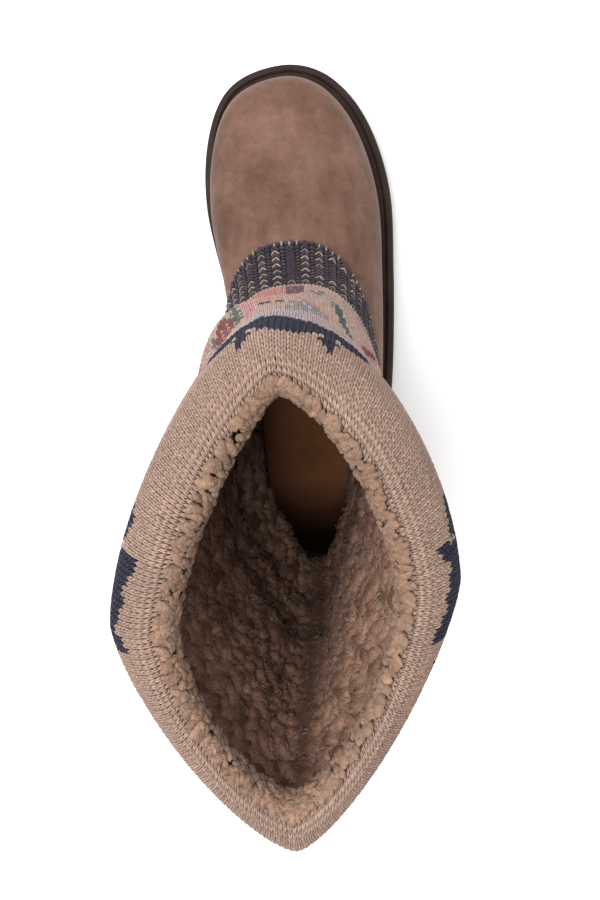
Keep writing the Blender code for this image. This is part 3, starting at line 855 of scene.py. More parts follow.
class ShaderGraph(NodeDesk):
    """A material's nodes, with short ways to add and join them."""

    def __init__(self, name: str, roughness: float) -> None:
        """Starts a material with one Principled shader."""
        self.material = bpy.data.materials.new(name)
        self.material.use_nodes = True
        self.nodes = self.material.node_tree.nodes
        self.links = self.material.node_tree.links
        self.shader = self.nodes["Principled BSDF"]
        self.shader.inputs["Roughness"].default_value = roughness
        self.place = self.nodes.new("ShaderNodeTexCoord").outputs["Object"]

    def noise(self, scale: float, detail: float = 2.0, stretch: Optional[Colour] = None,
              rough: float = 0.5) -> Socket:
        """Noise from 0 to 1 on the piece's own places, stretched if asked."""
        place = self.place
        if stretch is not None:
            place = self.step("ShaderNodeMapping", {"Vector": place, "Scale": stretch})
        inputs = {"Vector": place, "Scale": scale, "Detail": detail, "Roughness": rough}
        return self.step("ShaderNodeTexNoise", inputs, "Fac")

    def ramp(self, value: Socket, stops: Sequence[tuple[float, Colour]]) -> Socket:
        """A colour that runs through the stops."""
        node = self.nodes.new("ShaderNodeValToRGB")
        band = node.color_ramp
        while len(band.elements) < len(stops):
            band.elements.new(0.5)
        for element, (place, colour) in zip(band.elements, stops):
            element.position = place
            element.color = (*colour, 1.0)
        self.links.new(value, node.inputs["Fac"])
        return node.outputs["Color"]

    def blend(self, way: str, share: object, first: object, second: object) -> Socket:
        """Two colours blended."""
        colours = [(*value, 1.0) if isinstance(value, tuple) else value for value in (first, second)]
        inputs = {0: share, 6: colours[0], 7: colours[1]}
        return self.step("ShaderNodeMix", inputs, 2, data_type="RGBA", blend_type=way)

    def shaded(self, colour: Socket, value: Socket, stops: Sequence[tuple[float, Colour]]) -> Socket:
        """The colour multiplied by one that runs through the stops."""
        return self.blend("MULTIPLY", 1.0, colour, self.ramp(value, stops))

    def attribute(self, name: str, output: str = "Color") -> Socket:
        """A colour or number that the piece's points carry."""
        return self.step("ShaderNodeAttribute", {}, output, attribute_name=name)

    def bump(self, height: Socket, strength: float, distance: float) -> None:
        """Lights the surface as if it had the relief."""
        inputs = {"Strength": strength, "Distance": distance, "Height": height}
        self.put(self.shader.inputs["Normal"], self.step("ShaderNodeBump", inputs))

    def finish(self, colour: Socket, sheen: float = 0.0, sheen_rough: float = 0.5,
               tint: Colour = (1.0, 1.0, 1.0), specular: float = 0.3) -> bpy.types.Material:
        """Joins the colour to the shader and sets its constants on their own sockets."""
        self.links.new(colour, self.shader.inputs["Base Color"])
        self.shader.inputs["Sheen Weight"].default_value = sheen
        self.shader.inputs["Sheen Roughness"].default_value = sheen_rough
        self.shader.inputs["Sheen Tint"].default_value = (*tint, 1.0)
        self.shader.inputs["Specular IOR Level"].default_value = specular
        return self.material


@dataclass(frozen=True)
class YarnFinish:
    """Woollen yarn in the colours that its strands carry, heathered and fuzzy."""

    name: str
    # shade darkens the whole finish; the backing uses it as painted shade for the gaps between strands
    shade: float = 1.0
    heather: float = 0.30
    fuzz: float = 0.55

    def make(self) -> bpy.types.Material:
        """Builds the material."""
        graph = ShaderGraph(self.name, 0.93)
        yarn = graph.attribute("yarn")
        fibres, slow = graph.noise(900.0, 3.0), graph.noise(38.0, 2.0)
        heathered = [(0.30, (1 - self.heather,) * 3), (0.72, (1 + self.heather * 0.6,) * 3)]
        colour = graph.shaded(yarn, fibres, heathered)
        colour = graph.shaded(colour, slow, [(0.3, (0.90,) * 3), (0.7, (1.06,) * 3)])
        colour = graph.blend("MULTIPLY", 1.0, colour, (self.shade,) * 3)
        graph.bump(graph.noise(2300.0, 3.0), self.fuzz, 0.0004)
        return graph.finish(colour, sheen=0.08, sheen_rough=0.45, specular=0.08)


@dataclass(frozen=True)
class CurlFinish:
    """Loose curls of sherpa pile, in the colours that they carry."""

    name: str

    def colour(self, graph: ShaderGraph) -> Socket:
        """The wool's own colour."""
        return graph.attribute("yarn")

    def make(self) -> bpy.types.Material:
        """Builds the material."""
        graph = ShaderGraph(self.name, 0.95)
        fine, slow = graph.noise(620.0, 3.0, rough=0.6), graph.noise(45.0, 2.0)
        colour = graph.shaded(self.colour(graph), fine, [(0.32, (0.74, 0.72, 0.70)), (0.70, (1.10,) * 3)])
        colour = graph.shaded(colour, slow, [(0.3, (0.86, 0.85, 0.84)), (0.7, (1.06,) * 3)])
        finer = graph.math("MULTIPLY", graph.noise(1900.0, 2.0), 0.5)
        graph.bump(graph.math("ADD", graph.noise(700.0, 3.0), finer), 0.9, 0.0011)
        return graph.finish(colour, sheen=0.08, sheen_rough=0.4, tint=(1.0, 0.86, 0.74), specular=0.04)


@dataclass(frozen=True)
class FleeceFinish(CurlFinish):
    """The raised sheet of sherpa pile: warm beige curls, with painted shade that makes them darker and browner
    in their creases.
    """

    crease: Colour
    middle: Colour
    crest: Colour

    def colour(self, graph: ShaderGraph) -> Socket:
        """The wool's colour by how high it is raised: painted shade in the low creases, kept light near the
        lip.
        """
        near_lip = graph.math("MULTIPLY", graph.attribute("lip", "Fac"), 0.84)
        raised = graph.math("MAXIMUM", graph.attribute("raised", "Fac"), near_lip)
        return graph.ramp(raised, [(0.30, self.crease), (0.78, self.middle), (1.0, self.crest)])


@dataclass(frozen=True)
class SuedeFinish:
    """Brushed suede with cloudy nap, with a painted highlight that makes it paler towards the toe."""

    name: str
    deep: Colour
    middle: Colour
    pale: Colour

    def make(self) -> bpy.types.Material:
        """Builds the material."""
        graph = ShaderGraph(self.name, 0.92)
        along = graph.step("ShaderNodeSeparateXYZ", {0: graph.place}, "Y")
        # painted light: a little darker at mid foot, up to about a quarter paler at the toe
        painted_toe_highlight = graph.math("MULTIPLY_ADD", along, -8.0, -0.8)
        lit = [(0.0, (1.0,) * 3), (0.40, (0.92,) * 3), (0.72, (1.03,) * 3), (0.95, (1.26, 1.28, 1.28))]
        clouds = graph.noise(26.0, 4.0, rough=0.6)
        colour = graph.ramp(clouds, [(0.30, self.deep), (0.50, self.middle), (0.72, self.pale)])
        colour = graph.shaded(colour, painted_toe_highlight, lit)
        streaks = graph.noise(60.0, 3.0, stretch=(3.2, 0.55, 1.2))
        colour = graph.shaded(colour, streaks, [(0.34, (0.91, 0.90, 0.90)), (0.66, (1.07, 1.06, 1.06))])
        nap = graph.noise(1500.0, 3.0, rough=0.65)
        colour = graph.shaded(colour, nap, [(0.30, (0.86, 0.85, 0.85)), (0.70, (1.10,) * 3)])
        blotch = graph.noise(170.0, 4.0, rough=0.7)
        colour = graph.shaded(colour, blotch, [(0.32, (0.84, 0.83, 0.82)), (0.68, (1.10,) * 3)])
        graph.bump(graph.math("ADD", nap, graph.math("MULTIPLY", graph.noise(330.0, 3.0), 0.8)), 0.4, 0.0005)
        return graph.finish(colour, sheen=0.12, sheen_rough=0.35, tint=(1.0, 0.9, 0.84), specular=0.08)


@dataclass(frozen=True)
class RubberFinish:
    """Dark moulded rubber with a fine grain and dusty, paler patches."""

    name: str
    dark: Colour
    pale: Colour

    def make(self) -> bpy.types.Material:
        """Builds the material."""
        graph = ShaderGraph(self.name, 0.62)
        dust = graph.noise(70.0, 4.0, rough=0.65)
        colour = graph.ramp(dust, [(0.35, self.dark), (0.75, self.pale)])
        graph.bump(graph.noise(2600.0, 3.0, rough=0.7), 0.35, 0.0003)
        rough = graph.ramp(dust, [(0.3, (0.52, 0.52, 0.52)), (0.8, (0.74, 0.74, 0.74))])
        graph.links.new(rough, graph.shader.inputs["Roughness"])
        return graph.finish(colour, specular=0.16)


@dataclass(frozen=True)
class FootbedFinish:
    """A brushed footbed with short brown nap, with painted shadow that darkens it to near black towards the
    heel.
    """

    name: str
    dark: Colour
    pale: Colour

    def make(self) -> bpy.types.Material:
        """Builds the material."""
        graph = ShaderGraph(self.name, 0.9)
        colour = graph.ramp(graph.noise(30.0, 4.0, rough=0.6), [(0.32, self.dark), (0.70, self.pale)])
        # painted shadow: the colour falls to near black towards the heel, where the boot's back shades the
        # footbed
        along = graph.step("ShaderNodeSeparateXYZ", {0: graph.place}, "Y")
        painted_heel_shadow = graph.math("MULTIPLY_ADD", along, 11.6, 0.58)
        colour = graph.shaded(colour, painted_heel_shadow, [
            (0.0, (1.00, 0.86, 0.78)), (0.20, (0.92, 0.78, 0.70)), (0.57, (0.68, 0.55, 0.50)),
            (0.78, (0.17, 0.13, 0.12)), (0.93, (0.025, 0.020, 0.020)),
        ])
        nap = graph.noise(1200.0, 3.0, rough=0.6)
        colour = graph.shaded(colour, nap, [(0.3, (0.84,) * 3), (0.7, (1.12,) * 3)])
        graph.bump(nap, 0.4, 0.0005)
        return graph.finish(colour, sheen=0.2, specular=0.1)


# ---------------------------------------------------------------- knitting


class Yarn(Enum):
    """The yarns of the knit, in linear colour."""

    BEIGE = (0.300, 0.199, 0.156)
    NAVY = (0.011, 0.010, 0.027)
    MIDNIGHT = (0.047, 0.037, 0.046)
    OAT = (0.245, 0.188, 0.158)
    DENIM = (0.080, 0.082, 0.120)
    CREAM = (0.400, 0.290, 0.248)
    GREY = (0.215, 0.185, 0.190)
    ROSE = (0.430, 0.205, 0.205)
    SALMON = (0.460, 0.215, 0.175)
    PLUM = (0.155, 0.078, 0.112)
    BRICK = (0.175, 0.062, 0.055)
    GREEN = (0.105, 0.118, 0.092)
    TEAL = (0.062, 0.088, 0.092)
    LILAC = (0.350, 0.290, 0.320)


CHART_KEY = {
    ".": Yarn.BEIGE, "n": Yarn.NAVY, "d": Yarn.DENIM, "c": Yarn.CREAM, "y": Yarn.GREY, "r": Yarn.ROSE,
    "s": Yarn.SALMON, "p": Yarn.PLUM, "b": Yarn.BRICK, "g": Yarn.GREEN, "t": Yarn.TEAL, "l": Yarn.LILAC,
}


@dataclass(frozen=True)
class Border:
    """A belt of the chart: rows from its top down, repeated round the shaft from a start column."""

    first_row: int
    rows: tuple[str, ...]
    start: int = 0


class KnitChart:
    """The shaft's knitting chart, which repeats small borders round the wales."""

    def __init__(self, rows: int, wales: int, borders: Sequence[Border], ground: Yarn, belt: Yarn,
                 belt_top: int) -> None:
        """Fills the chart with its two grounds, the belt's below belt_top, and works each border into it."""
        self.colours = np.tile(np.array(ground.value), (rows, wales, 1))
        self.colours[:belt_top] = belt.value
        for border in borders:
            self._work(border, rows, wales)

    def _work(self, border: Border, rows: int, wales: int) -> None:
        """Works one border into the chart; its first string is its highest row."""
        for depth, text in enumerate(border.rows):
            row = border.first_row + len(border.rows) - 1 - depth
            if not 0 <= row < rows:
                continue
            for wale in range(wales):
                mark = text[(wale - border.start) % len(text)]
                if mark != " ":
                    self.colours[row, wale] = CHART_KEY[mark].value


class ClothFrame(NamedTuple):
    """A knitted face's own ways at every crossing, one metre long each, and its row and wale pitches."""

    up: Array
    course: Array
    out: Array
    rise: Array
    pitch: Array

    @classmethod
    def of(cls, face: Array) -> "ClothFrame":
        """Works out the ways and pitches of a closed face's points, given by row and wale."""
        course = np.roll(face, -1, axis=1) - np.roll(face, 1, axis=1)
        pitch = np.linalg.norm(course, axis=2, keepdims=True) / 2
        course /= np.maximum(2 * pitch, 1e-9)
        up = np.gradient(face, axis=0)
        rise = np.linalg.norm(up, axis=2, keepdims=True)
        up /= np.maximum(rise, 1e-9)
        out = np.cross(up, course)
        out /= np.maximum(np.linalg.norm(out, axis=2, keepdims=True), 1e-9)
        return cls(up, course, out, rise, pitch)


@dataclass
class KnitShaft:
    """The knitted shaft and its rolled cuff: a skin, and a stitch of two strands at every crossing."""

    form: BootForm
    wales: int = 216
    row_pitch: float = 0.00155
    low: float = 9.03
    high: float = 24.35
    skin_depth: float = 0.0009
    skin_back_depth: float = 0.0024
    strand_lift: float = -0.00025
    strand_lean: float = 0.21
    strand_tilt: float = 0.10
    strand_offset: float = 0.225
    strand_length: float = 1.02
    strand_width: float = 0.308
    strand_thickness: float = 0.62
    seed: int = 11

    def rows(self) -> Array:
        """The levels of the knit's rows."""
        return self.form.even_levels(self.low, self.high, self.row_pitch)

    def cover(self, levels: Array) -> Array:
        """How far outside the loft the knit's face lies."""
        return self.form.leg.knit_lap * self.form.column(self.form.sections(levels), "cover")[:, 0]

    def build(self, chart: KnitChart, yarn: bpy.types.Material,
              base: bpy.types.Material) -> list[bpy.types.Object]:
        """Builds the skin and the stitches.

        Args:
            chart: The colours of the stitches.
            yarn: The stitches' material.
            base: The skin's material.

        Returns:
            The skin, then the pieces of stitches from the ankle up.
        """
        levels = self.rows()
        turns = self.form.even_turns(levels, self.wales, self.form.leg.knit_lap)
        face = self.form.surface(levels, turns, self.cover(levels))
        skin = self._skin(levels, turns, chart, base)
        return [skin, *self._stitches(face, chart, yarn)]

    def _skin(self, levels: Array, turns: Array, chart: KnitChart,
              base: bpy.types.Material) -> bpy.types.Object:
        """The cloth behind the strands: a closed shell with corners at every second row and wale outside."""
        face_levels, face_turns = levels[::2], turns[::2, ::2]
        outside = self.form.surface(face_levels, face_turns, self.cover(face_levels) - self.skin_depth)
        inner_levels, inner_turns = levels[::-6], turns[::-6, ::2]
        back = self.cover(inner_levels) - self.skin_back_depth
        inside = self.form.surface(inner_levels, inner_turns, back)
        points = np.concatenate([outside, inside])
        faces = MeshMaker.grid_faces(len(points), self.wales // 2, closed=True)
        faces = faces[:, ::-1]
        skin = MeshMaker.make("knit_skin", points, faces, [base])
        colours = np.concatenate([chart.colours[::2, ::2], chart.colours[::-6, ::2]]).reshape(-1, 3)
        MeshMaker.colour(skin, colours)
        return skin

    def _stitches(self, face: Array, chart: KnitChart, yarn: bpy.types.Material) -> list[bpy.types.Object]:
        """Two slanting strands for each stitch, in four pieces that follow one another up the shaft."""
        rng = np.random.default_rng(self.seed)
        rows, wales = face.shape[:2]
        up, course, out, rise, pitch = ClothFrame.of(face)

        def about(middle: float, spread: float) -> Array:
            """A random number near the middle for every stitch."""
            return middle + rng.normal(0, spread, (rows, wales, 1))

        parts = []
        for side in (-1.0, 1.0):
            lean = side * about(self.strand_lean, 0.04)
            leg = up * rise + course * pitch * lean + out * rise * self.strand_tilt
            leg /= np.linalg.norm(leg, axis=2, keepdims=True)
            middle = face + course * pitch * side * about(self.strand_offset, 0.014)
            middle = middle + out * about(self.strand_lift, 0.00005)
            length = rise * about(self.strand_length, 0.05)
            width = pitch * about(self.strand_width, 0.016)
            size = np.concatenate([width * self.strand_thickness, width, length], axis=2)
            parts.append((middle, leg, out, size, chart.colours * about(1.0, 0.045)))
        tree = StrandTree("stitch strands", StrandShape.SPINDLE, yarn)
        names = ("fair_isle_low", "fair_isle_high", "cuff_knit_low", "cuff_knit_high")
        bounds = np.linspace(0, rows, len(names) + 1).astype(int)
        pieces = []
        for name, start, end in zip(names, bounds[:-1], bounds[1:]):
            gathered = [
                np.concatenate([part[place][start:end].reshape(-1, 3) for part in parts])
                for place in range(5)
            ]
            pieces.append(tree.lay(name, *gathered))
        return pieces


@dataclass
class AnkleBand:
    """The chunky ribbed band that laps over the suede's top edge."""

    form: BootForm
    repeats: int = 56
    row_pitch: float = 0.0018
    low: float = 7.0
    high: float = 9.0
    body_depth: float = 0.0016
    rib_height: float = 0.0010
    strand_depth: float = 0.0006
    plain_patches: int = 34
    dull_share: float = 0.30
    seed: int = 5

    def build(self, yarn: bpy.types.Material, base: bpy.types.Material) -> list[bpy.types.Object]:
        """Builds the band's ribbed body, its strands and the looped edge."""
        return [self._body(base), self._strands(yarn)]

    def _rib(self, phase: Array) -> Array:
        """The relief of one rib, from 0 in the purl furrow to 1 on the crest."""
        return 0.5 + 0.5 * np.cos(2 * np.pi * phase)

    def _body(self, base: bpy.types.Material) -> bpy.types.Object:
        """A closed tube with the ribs in its outer face."""
        around = self.repeats * 8
        levels = np.linspace(self.low, self.high, 26)
        leg = self.form.leg
        turns = self.form.even_turns(levels, around, leg.knit_wall)
        relief = self._rib(np.arange(around) / 8.0)[None, :]
        outside = self.form.surface(levels, turns, leg.knit_lap - self.body_depth + self.rib_height * relief)
        lower = levels[::-3]
        inside = self.form.surface(lower, turns[::-3], np.full(len(lower), leg.lap_gap))
        points = np.concatenate([outside, inside])
        faces = MeshMaker.grid_faces(len(points), around, closed=True)[:, ::-1]
        body = MeshMaker.make("ankle_band_body", points, faces, [base])
        MeshMaker.colour(body, np.tile(np.array(Yarn.MIDNIGHT.value), (len(body.data.vertices), 1)))
        return body

    def _strands(self, yarn: bpy.types.Material) -> bpy.types.Object:
        """Chevrons of two strands down each rib, purl bumps in the furrows, and the looped edge."""
        rng = np.random.default_rng(self.seed)
        levels = self.form.even_levels(self.low + 0.05, self.high - 0.02, self.row_pitch)
        turns = self.form.even_turns(levels, self.repeats * 4, self.form.leg.knit_wall)
        rows, height = len(levels), self.form.leg.knit_lap - self.strand_depth
        face = self.form.surface(levels, turns, np.full(rows, height))
        up, course, out, rise, pitch = ClothFrame.of(face)
        dark, light = np.array(Yarn.MIDNIGHT.value), np.array(Yarn.OAT.value)
        plain = self._plain_patches(rng, rows)
        gathered: list[list[Array]] = [[], [], [], [], []]

        def add(row: int, column: int, shift: float, slant: float, size: Colour, colour: Array) -> None:
            """Adds one strand beside a column of the band's grid."""
            place = column % (self.repeats * 4)
            wide, high = pitch[row, place, 0], rise[row, place, 0]
            leg = up[row, place] * math.cos(slant) + course[row, place] * math.sin(slant)
            values = (
                face[row, place] + course[row, place] * wide * shift, leg, out[row, place],
                np.array([size[0] * wide, size[1] * wide, size[2] * high]), colour,
            )
            for group, value in zip(gathered, values):
                group.append(value)

        for row in range(rows):
            for repeat in range(self.repeats):
                column = repeat * 4
                cream = row > 0 and (row % 2 == 0) and not plain[row, repeat]
                tint = light * (0.58 if rng.random() < self.dull_share else 0.95)
                colour = (tint if cream else dark) * (1 + rng.normal(0, 0.12))
                for side in (-1.0, 1.0):
                    slant = side * 0.80 + rng.normal(0, 0.08)
                    thick = 0.29 if cream else 0.36
                    long = 0.78 if row < 2 else (0.94 if cream else 1.05)
                    faded = colour * (1 + rng.normal(0, 0.08))
                    add(row, column, side * 0.52, slant, (thick, thick, long), faded)
                shade = dark * (1 + rng.normal(0, 0.14))
                add(row, column + 2, 0.0, math.pi / 2, (0.30, 0.44, 0.62), shade)
        for repeat in range(self.repeats):
            for step in (0, 2):
                colour = light if (repeat + step // 2) % 3 else dark
                add(0, repeat * 4 + step, 0.0, 0.1, (0.36, 0.40, 0.62), colour * (1 + rng.normal(0, 0.1)))
        tree = StrandTree("band strands", StrandShape.SPINDLE, yarn, 6, 4, ruffle=0.0005, ruffle_size=0.0016)
        arrays = [np.array(group) for group in gathered]
        return tree.lay("ankle_band_rib", *arrays)

    def _plain_patches(self, rng: np.random.Generator, rows: int) -> Array:
        """Where a rib stays all navy for a few rows."""
        plain = np.zeros((rows, self.repeats), dtype=bool)
        for _ in range(self.plain_patches):
            row, repeat = int(rng.integers(0, rows)), int(rng.integers(0, self.repeats))
            plain[row : row + int(rng.integers(2, 6)), repeat : repeat + int(rng.integers(1, 3))] = True
        return plain


# ---------------------------------------------------------------- lining, foot part and sole


@dataclass(frozen=True)
class TuftSpread:
    """Loose curls over a part of the lining: their number, where they lie from the seam, and their radii."""

    count: int
    start: float
    end: float
    small: float
    large: float
    crowding: float = 1.45


@dataclass(frozen=True)
class Swell:
    """Slack in the lining on one side of the back: how deep it stands, and where, at each level."""

    levels: tuple[float, ...]
    turns: tuple[float, ...]
    depths: tuple[float, ...]
    spread: float


LINING_SWELLS = (
    Swell((7.7, 8.6, 9.5, 11.0, 13.0, 15.0, 17.0, 19.0, 20.0), (148, 148, 146, 146, 146, 146, 148, 150, 150),
          (0.0, 0.004, 0.0095, 0.0100, 0.0080, 0.0080, 0.0070, 0.0030, 0.0), 27.0),
    Swell((7.7, 8.6, 9.5, 11.0, 13.0, 15.0, 17.0, 19.0, 20.0), (216, 216, 216, 218, 218, 218, 216, 214, 214),
          (0.0, 0.002, 0.0060, 0.0090, 0.0115, 0.0125, 0.0110, 0.0050, 0.0), 25.0),
    Swell((11.0, 13.0, 15.0, 17.0, 19.0, 20.0), (252, 254, 256, 258, 260, 260),
          (0.0, 0.0040, 0.0065, 0.0070, 0.0045, 0.0010), 36.0),
)


@dataclass
class FleeceLining:
    """The sherpa lining: it starts at the knit's seam, rolls over the lip and runs down to the ankle."""

    form: BootForm
    seam: float = 23.9
    widest: float = 20.0
    low: float = 7.70
    wall: float = 0.0055
    around: int = 280
    pitch: float = 0.00140
    wisps: int = 8500
    fold_turn: float = 183.0
    fold_width: float = 6.5
    fold_depth: float = 0.9
    curl_colour: Colour = (0.240, 0.152, 0.110)
    wisp_colour: Colour = (0.355, 0.218, 0.158)
    wisp_length: tuple[float, float] = (0.0013, 0.0026)
    wisp_width: tuple[float, float] = (0.00020, 0.00038)
    seed: int = 7
    lip_curls: TuftSpread = TuftSpread(980, 0.0001, 0.0112, 0.0012, 0.0021)

    def build(self, pile: bpy.types.Material, tufts: bpy.types.Material) -> list[bpy.types.Object]:
        """Builds the sheet with its raised curls, the loose curls along the lip and the wisps over both."""
        distance, points = self._face()
        sheet = self._sheet(points, pile)
        lip = self._tufts("lip_curls", distance, points, tufts, self.lip_curls)
        return [sheet, lip, self._wisps(sheet, len(points), tufts)]

    def _face(self) -> tuple[Array, Array]:
        """The lining's visible face, from the seam over the lip and down.

        Returns:
            A number for each ring that grows from 0 at the seam, and the rings' points.
        """
        turns = np.arange(self.around) * 360.0 / self.around
        over = np.linspace(self.seam, self.form.top, 12)
        wall = self.form.leg.knit_lap * self.form.column(self.form.sections(over), "cover")[:, 0]
        lift = mix(0.0002, 0.0010, smooth_step(0, 0.22, np.linspace(0, 1, 12)))
        lip = self.form.surface(over, turns, wall + lift)
        levels = np.linspace(self.widest, self.low, 260)
        sections = self.form.sections(levels)
        lining = self.form.column(sections, "lining")[:, 0] * self.wall
        inner = self._creased(levels, turns, self.form.points(self.form.drawn_in(sections, lining), turns))
        rings = np.concatenate([lip, inner[1:]])
        return self._respaced(rings)

    def _creased(self, levels: Array, turns: Array, rings: Array) -> Array:
        """The lining's slack swells on both sides of the back, so that a deep crease runs down between."""
        middle = rings.mean(axis=1, keepdims=True)
        inwards = middle - rings
        inwards[..., 2] = 0
        inwards /= np.linalg.norm(inwards, axis=2, keepdims=True)
        swell = np.zeros(rings.shape[:2])
        for side in LINING_SWELLS:
            place = np.interp(levels, side.levels, side.turns)
            depth = np.interp(levels, side.levels, side.depths)
            away = (turns[None, :] - place[:, None]) / side.spread
            swell += depth[:, None] * np.exp(-away**2)
        return rings + inwards * swell[..., None]

    def _respaced(self, rings: Array) -> tuple[Array, Array]:
        """Rings moved along the face until they lie evenly, with their mean distance from the seam."""
        length = np.linalg.norm(np.diff(rings, axis=0), axis=2)
        mean = np.concatenate([[0], np.cumsum(length.mean(axis=1))])
        count = round(mean[-1] / self.pitch)
        wanted = np.linspace(0, mean[-1], count)
        place = np.interp(wanted, mean, np.arange(len(rings)))
        low = np.clip(np.floor(place).astype(int), 0, len(rings) - 2)
        share = (place - low)[:, None, None]
        points = rings[low] * (1 - share) + rings[low + 1] * share
        for _ in range(3):
            points[1:-1] = 0.25 * points[:-2] + 0.5 * points[1:-1] + 0.25 * points[2:]
        return wanted, points

    def _sheet(self, face: Array, pile: bpy.types.Material) -> bpy.types.Object:
        """The face with its curls, closed behind by a plain back that lies on the knit."""
        rows = len(face)
        turns = np.arange(self.around) * 360.0 / self.around
        back_levels = np.linspace(self.low + 0.05, self.seam - 0.15, 40)
        cover = self.form.column(self.form.sections(back_levels), "cover")[:, 0]
        back_wall = self.form.leg.knit_lap * cover
        hidden = np.where(back_levels < 9.1, -0.0003, back_wall - 0.0026)
        back = self.form.surface(back_levels, turns, hidden)
        points = np.concatenate([face, back])
        faces = MeshMaker.grid_faces(len(points), self.around, closed=True)[:, ::-1]
        sheet = MeshMaker.make("fleece_lining", points, faces, [pile])
        raised = np.zeros((len(points), self.around))
        rows_in = np.arange(rows)
        # painted shade: where the pile is lowered, along the back fold and at the bottom, the pile finish also
        # colours it darker
        ends = mix(0.55, 1.0, smooth_step(0, 4, rows_in)) * smooth_step(rows - 1, rows - 5, rows_in)
        raised[:rows] = ends[:, None]
        deep = smooth_step(0.10 * rows, 0.22 * rows, rows_in)
        fold = np.exp(-((turns - self.fold_turn) / self.fold_width) ** 2) * deep[:, None]
        raised[:rows] *= 1 - self.fold_depth * fold
        MeshMaker.number(sheet, "pile", raised)
        lip = np.zeros((len(points), self.around))
        lip[:rows] = smooth_step(16, 7, rows_in)[:, None]
        MeshMaker.number(sheet, "lip", lip)
        return PileTree("fleece pile", seed=float(self.seed)).raise_on(sheet)

    def _tufts(self, name: str, distance: Array, face: Array, finish: bpy.types.Material,
               spread: TuftSpread) -> bpy.types.Object:
        """Loose curls of pile over one part of the face.

        Args:
            name: The piece's name.
            distance: The rings' distances from the seam.
            face: The face's points by ring.
            finish: The curls' material.
            spread: How many there are, how far down, how big and how much closer together near the seam.

        Returns:
            The curls as one mesh.
        """
        rng = np.random.default_rng(self.seed + spread.count)
        count = spread.count
        share = ((np.arange(count) + rng.uniform(0, 1, count)) / count) ** spread.crowding
        row = np.clip(np.searchsorted(distance, mix(spread.start, spread.end, share)), 1, len(face) - 2)
        even = np.arange(count) * 0.618034 % 1.0 * self.around
        column = (even + rng.uniform(-2, 2, count)).astype(int) % self.around
        middle = face[row, column]
        up = face[row + 1, column] - face[row - 1, column]
        course = face[row, (column + 1) % self.around] - face[row, column - 1]
        out = np.cross(up, course)
        out = -out / np.linalg.norm(out, axis=1, keepdims=True)
        radius = rng.uniform(spread.small, spread.large, (count, 1))
        course /= np.linalg.norm(course, axis=1, keepdims=True)
        leg = up / np.linalg.norm(up, axis=1, keepdims=True) + course * rng.normal(0, 0.6, (count, 1))
        leg += out * rng.normal(0, 0.12, (count, 1))
        leg /= np.linalg.norm(leg, axis=1, keepdims=True)
        middle = middle + out * (0.0010 + radius * 0.15)
        thin, wide, long = (0.45, 0.62), (0.62, 0.90), (1.15, 1.75)
        size = radius * np.stack([rng.uniform(*span, count) for span in (thin, wide, long)], axis=1)
        warm = np.array(self.curl_colour) * (1 + rng.normal(0, 0.10, (count, 1)))
        tree = StrandTree("fleece curls", StrandShape.TUFT, finish, ruffle=0.0017, ruffle_size=0.0013)
        return tree.lay(name, middle, leg, out, size, warm)

    def _wisps(self, sheet: bpy.types.Object, rings: int, finish: bpy.types.Material) -> bpy.types.Object:
        """Short wisps of pile that lie on the raised sheet and swirl together.

        Args:
            sheet: The lining's sheet after its curls are raised.
            rings: How many of its rings are on the visible face.
            finish: The wisps' material.

        Returns:
            The wisps as one mesh.
        """
        rng = np.random.default_rng(self.seed + 1)
        mesh = sheet.data
        places, normals = np.zeros(len(mesh.vertices) * 3), np.zeros(len(mesh.vertices) * 3)
        raised = np.zeros(len(mesh.vertices))
        mesh.vertices.foreach_get("co", places)
        mesh.vertex_normals.foreach_get("vector", normals)
        mesh.attributes["raised"].data.foreach_get("value", raised)
        chosen = rng.choice(np.arange(3 * self.around, (rings - 4) * self.around), self.wisps, replace=False)
        middle, out = places.reshape(-1, 3)[chosen], normals.reshape(-1, 3)[chosen]
        middle = middle + rng.normal(0, 0.0004, middle.shape)
        swirl = np.stack([
            np.sin(middle[:, 1] * 410 + 2.0 * np.sin(middle[:, 2] * 170)),
            np.sin(middle[:, 2] * 370 + 2.0 * np.sin(middle[:, 0] * 190)),
            np.sin(middle[:, 0] * 450 + 2.0 * np.sin(middle[:, 1] * 150)),
        ], axis=1) + rng.normal(0, 0.35, middle.shape)
        swirl -= out * np.sum(swirl * out, axis=1, keepdims=True)
        swirl /= np.maximum(np.linalg.norm(swirl, axis=1, keepdims=True), 1e-9)
        leg = swirl + out * rng.uniform(0.0, 0.25, (len(chosen), 1))
        leg /= np.linalg.norm(leg, axis=1, keepdims=True)
        length = rng.uniform(*self.wisp_length, (len(chosen), 1))
        width = rng.uniform(*self.wisp_width, (len(chosen), 1))
        size = np.concatenate([width * 0.8, width, length], axis=1)
        # painted shade: wisps in the creases are darker, those on the crests lighter
        lit = (0.56 + 0.48 * np.clip(raised[chosen], 0, 1))[:, None]
        lit = lit * (1 + rng.normal(0, 0.16, (len(chosen), 1)))
        tree = StrandTree("fleece wisps", StrandShape.SPINDLE, finish, ruffle=0.0009, ruffle_size=0.0012)
        colours = np.array(self.wisp_colour) * lit
        return tree.lay("fleece_wisps", middle + out * 0.0002, leg, out, size, colours)


